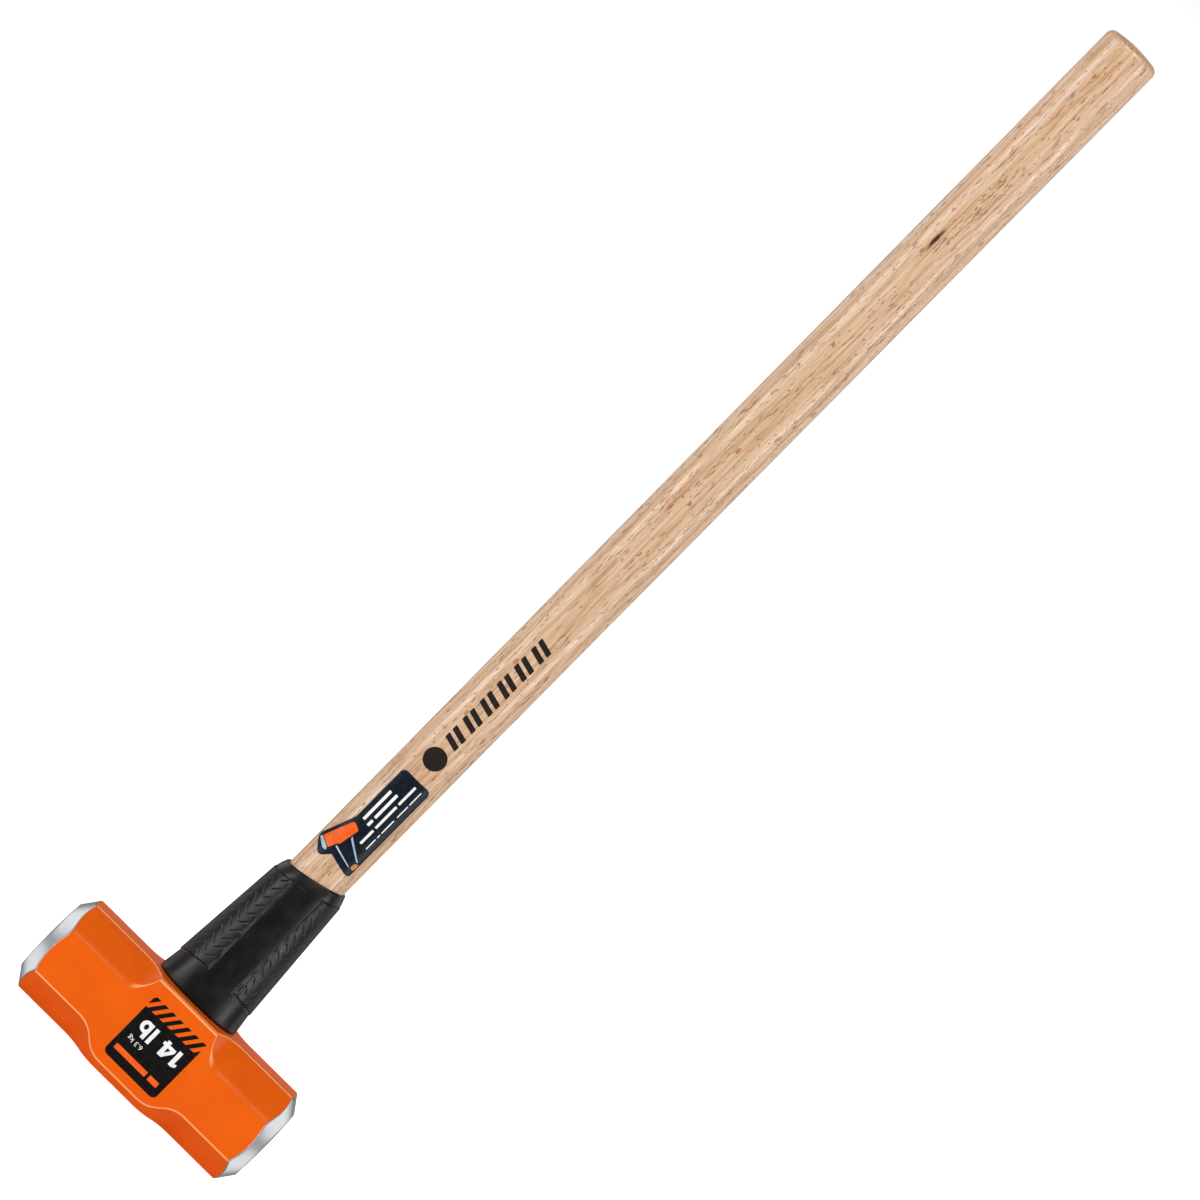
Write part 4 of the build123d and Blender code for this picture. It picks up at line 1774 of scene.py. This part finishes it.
@dataclass
class HandleLabel:
    """The die-cut film on the handle, with a hammer's picture and lines of plain bars."""

    left: float = -9.8
    right: float = 13.8
    top: float = 272.5
    corner_radii: tuple[float, ...] = (3.6, 3.6, 2.0, 5.0, 3.2, 1.6, 2.4)
    film: float = 0.08
    ground: float = 0.02
    ink: float = 0.03
    border: float = 0.2
    bar_corner: float = 0.4
    slice_width: float = 1.0

    def outline(self, inset: float) -> Points:
        """Draws the die-cut outline.

        Args:
            inset: Distance to draw it in by.

        Returns:
            The outline.
        """
        corners = np.array(
            [
                (self.right, self.top),
                (self.left, self.top),
                (self.left, 229.2),
                (-19.2, 203.6),
                (-10.4, 193.6),
                (-4.2, 201.0),
                (self.right, 196.4),
            ]
        )
        before = corners - np.roll(corners, 1, axis=0)
        after = np.roll(before, -1, axis=0)
        before /= np.linalg.norm(before, axis=1, keepdims=True)
        after /= np.linalg.norm(after, axis=1, keepdims=True)
        inward = np.column_stack([-(before + after)[:, 1], (before + after)[:, 0]])
        cosine = (np.column_stack([-before[:, 1], before[:, 0]]) * inward).sum(1, keepdims=True)
        return rounded(corners + inward * inset / cosine, self.corner_radii)

    def picture(self) -> dict[Ink, list[Points]]:
        """Draws the tilted hammer's picture.

        Returns:
            Its outlines, by ink.
        """
        head = [(-16.4, 205.2), (-8.2, 226.2), (-2.2, 223.8), (-5.0, 209.2), (-6.2, 208.4), (-8.8, 202.4)]
        face = [(-17.2, 203.2), (-16.6, 204.8), (-9.4, 202.0), (-8.6, 200.0), (-11.6, 199.8)]
        lines = [
            [(-5.7, 206.2), (-5.6, 207.4), (9.2, 202.9), (9.3, 202.2)],
            [(-2.2, 216.6), (-2.4, 218.4), (11.4, 208.6), (11.0, 207.8)],
        ]
        stub = [(10.2, 202.8), (12.6, 202.2), (13.2, 204.8), (12.9, 207.6), (10.6, 206.4)]
        return {
            Ink.ORANGE: [rounded(head, (1.0, 1.6, 1.6, 0.3, 0.3, 0.6))],
            Ink.PALE_BLUE: [rounded(face, 0.35), *(np.array(line) for line in lines)],
            Ink.WOOD_TAN: [rounded(stub, 0.4)],
        }

    def word_bars(self) -> list[Points]:
        """Draws rows of plain bars where the film has lines of print.

        Each row is its middle, its height and the spans of its bars up the handle.

        Returns:
            Their outlines.
        """
        rows = (
            (-5.2, 2.0, ((231.0, 256.0),)),
            (-0.6, 2.0, ((230.0, 234.6), (236.6, 256.8))),
            (4.2, 1.7, ((218.6, 230.2), (232.2, 251.2), (253.2, 268.4))),
            (
                9.2,
                0.75,
                ((218.4, 227.2), (228.4, 231.2), (232.4, 243.6), (246.4, 256.2), (257.4, 268.4)),
            ),
        )
        outlines = []
        for middle, tall, spans in rows:
            low, high = middle - tall / 2, middle + tall / 2
            radius = min(self.bar_corner, 0.45 * tall)
            outlines += [rounded([(low, a), (high, a), (high, b), (low, b)], radius) for a, b in spans]
        return outlines

    def build(self) -> list[tuple[Piece, bool]]:
        """Builds the pale backing film, the navy print on it, the picture and the bars.

        Returns:
            Each piece, and whether it is the film itself.
        """
        top = self.film + self.ground
        layers = [
            ("handle_label_film", [self.outline(0.0)], 0.0, self.film, Ink.PALE_EDGE),
            ("navy_ground", [self.outline(self.border)], self.film, self.ground, Ink.NAVY_FILM),
            ("word_bars", self.word_bars(), top, self.ink, Ink.WHITE),
        ]
        for ink, outlines in self.picture().items():
            layers.append((f"picture_{ink.name.lower()}", outlines, top, self.ink, ink))
        pieces = []
        for name, outlines, lift, thickness, ink in layers:
            shape = flat_shapes(outlines, self.slice_width)
            piece = thin_piece(name, shape, handle_front, lift, thickness, ink)
            pieces.append((piece, name == "handle_label_film"))
        return pieces

    def dress(self, pieces: list[tuple[Piece, bool]]) -> None:
        """Puts the film in the CAD label's place and its print on it."""
        for piece, is_film in pieces:
            place(piece, ["handle_label"] if is_film else [])


@dataclass
class HandleStamp:
    """A plain mark stamped in black on the handle: a disc and a row of slanted bars."""

    low: float = 282.0
    high: float = 392.0
    left: float = -7.6
    right: float = 8.2
    gap: float = 2.0
    pairs: int = 6
    inset: float = 2.4
    bar_share: float = 0.3
    lean_share: float = 0.22
    corner: float = 0.5
    disc_points: int = 48
    slice_width: float = 1.0
    ink: float = 0.03

    def build(self) -> Piece:
        """Builds the disc and pairs of bars as thin ink on the wood.

        Returns:
            The stamp's object.
        """
        radius = (self.right - self.left) / 2
        middle = (self.left + radius, self.low + radius)
        last = 360.0 * (1 - 1 / self.disc_points)
        outlines = [ellipse(middle, (radius, radius), stop=last, count=self.disc_points)]
        start = self.low + 2 * radius + 2 * self.gap
        length = (self.high - start + self.gap) / self.pairs - self.gap
        bar, lean = self.bar_share * length, self.lean_share * length
        for index in range(self.pairs):
            foot = start + index * (length + self.gap)
            for low in (foot, foot + length - lean - bar):
                corners = [
                    (self.left + self.inset, low + lean),
                    (self.right - self.inset, low),
                    (self.right - self.inset, low + bar),
                    (self.left + self.inset, low + lean + bar),
                ]
                outlines.append(rounded(corners, self.corner))
        shape = flat_shapes(outlines, self.slice_width)
        return thin_piece("handle_stamp", shape, handle_front, 0.0, self.ink, Ink.STAMP)

    def dress(self, stamp: Piece) -> None:
        """Fixes the stamp to the handle."""
        place(stamp)


# ------------------------------------------------------------------ the studio


@dataclass(frozen=True)
class SoftBox:
    """A rectangular light that the camera doesn't see. Places and sizes are metres."""

    name: str
    place_at: Triple
    aim: Triple
    size: tuple[float, float]
    watts: float

    def build(self) -> None:
        """Makes the light and turns it to its aim."""
        data = bpy.data.lights.new(self.name, "AREA")
        data.shape = "RECTANGLE"
        data.size, data.size_y = self.size
        data.energy = self.watts
        light = bpy.data.objects.new(self.name, data)
        bpy.context.scene.collection.objects.link(light)
        light.location = self.place_at
        light.rotation_mode = "QUATERNION"
        towards = Vector(self.aim) - Vector(self.place_at)
        light.rotation_quaternion = towards.to_track_quat("-Z", "Y")
        light.visible_camera = False


@dataclass
class Studio:
    """Floor, lights and camera. Places and sizes are metres, and the lens millimetres.

    The camera sees the floor and the sky at their seen strengths. Everything else is
    lit by them at their fill strengths.
    """

    floor_size: float = 400.0
    floor_height: float = -0.0001
    floor_colour: str = "D0D0D0"
    floor_seen: float = 0.95
    floor_fill: float = 0.15
    sky_seen: float = 0.98
    sky_fill: float = 0.12
    camera_place: Triple = (0.01506, -5.232, 1.005)
    camera_aim: Triple = (0.00376, 0.0, 0.43293)
    camera_roll: float = 44.63
    lens: float = 251.586

    def white_for_camera(self, tree: Tree, seen: float, fill: float) -> Socket:
        """Makes a strength with one value for the camera and another for all else.

        Args:
            tree: The node tree of the floor or the sky.
            seen: What the camera sees.
            fill: What everything else gets.

        Returns:
            The (node, output) pair of the strength.
        """
        path = add_node(tree, "LightPath")
        return fade(tree, (path, "Is Camera Ray"), 0.0, 1.0, (fill, seen))

    def build_floor(self) -> None:
        """Builds a plain pale floor, a hair below the head, that blocks no light."""
        half = self.floor_size / 2
        corners = [(-half, -half), (half, -half), (half, half), (-half, half)]
        points = np.array([(x, y, self.floor_height) for x, y in corners]) / MM
        material, tree = new_material("pale_studio_floor")
        finish_material(
            tree,
            Base_Color=linear(self.floor_colour),
            Roughness=1.0,
            Specular_IOR_Level=0.0,
            Emission_Color=linear("FFFFFF"),
            Emission_Strength=self.white_for_camera(tree, self.floor_seen, self.floor_fill),
        )
        floor = mesh_object("floor", points, [[0, 1, 2, 3]], [material])
        floor.visible_glossy = False
        floor.visible_shadow = False

    def build_sky(self) -> None:
        """Builds a dim even sky."""
        world = bpy.data.worlds.new("sky")
        bpy.context.scene.world = world
        world.use_nodes = True
        background = world.node_tree.nodes["Background"]
        background.inputs["Color"].default_value = linear("FFFFFF")
        strength = self.white_for_camera(world.node_tree, self.sky_seen, self.sky_fill)
        world.node_tree.links.new(strength[0].outputs[strength[1]], background.inputs["Strength"])

    def build_lights(self) -> None:
        """Builds tall strips that draw the long streaks, and large soft panels."""
        boxes = [
            SoftBox("overhead_box", (0.0, -1.9, 2.9), (0.0, 0.0, 0.2), (1.6, 1.2), 40.0),
            SoftBox("back_box", (0.0, 3.0, 2.9), (0.0, 0.0, 0.45), (2.4, 2.0), 60.0),
        ]
        for side, name in ((-1, "left"), (1, "right")):
            boxes += [
                SoftBox(f"{name}_strip", (side * 2.4, -2.1, 0.1), (0.0, 0.0, 0.1), (0.55, 3.6), 52.0),
                SoftBox(f"{name}_panel", (side * 2.9, 1.6, 1.1), (0.0, 0.0, 1.1), (3.0, 2.3), 27.0),
                SoftBox(f"{name}_low_panel", (side * 2.9, 1.6, -1.6), (0.0, 0.0, -1.6), (3.0, 1.8), 21.0),
            ]
        for box in boxes:
            box.build()

    def build_camera(self) -> None:
        """Builds a long lens, above the handle's middle, rolled so that the tool lies slanted."""
        data = bpy.data.cameras.new("camera")
        data.lens = self.lens
        data.clip_start, data.clip_end = 0.1, 100.0
        camera = bpy.data.objects.new("camera", data)
        bpy.context.scene.collection.objects.link(camera)
        camera.location = self.camera_place
        towards = Vector(self.camera_aim) - Vector(self.camera_place)
        roll = Matrix.Rotation(math.radians(self.camera_roll), 4, "Z").to_quaternion()
        camera.rotation_mode = "QUATERNION"
        camera.rotation_quaternion = towards.to_track_quat("-Z", "Y") @ roll
        bpy.context.scene.camera = camera
        bpy.context.scene.view_settings.view_transform = "Standard"


def main() -> None:
    """Builds the studio and the hammer, sub-assembly by sub-assembly."""
    logging.basicConfig(level=logging.INFO, format="%(name)s: %(message)s")
    studio = Studio()
    studio.build_camera()
    studio.build_floor()
    studio.build_sky()
    studio.build_lights()
    for part in (Head(), Handle(), ShockCollar(), HeadLabel(), HandleLabel(), HandleStamp()):
        part.dress(part.build())
    Wedges().dress()


if __name__ == "__main__":
    main()
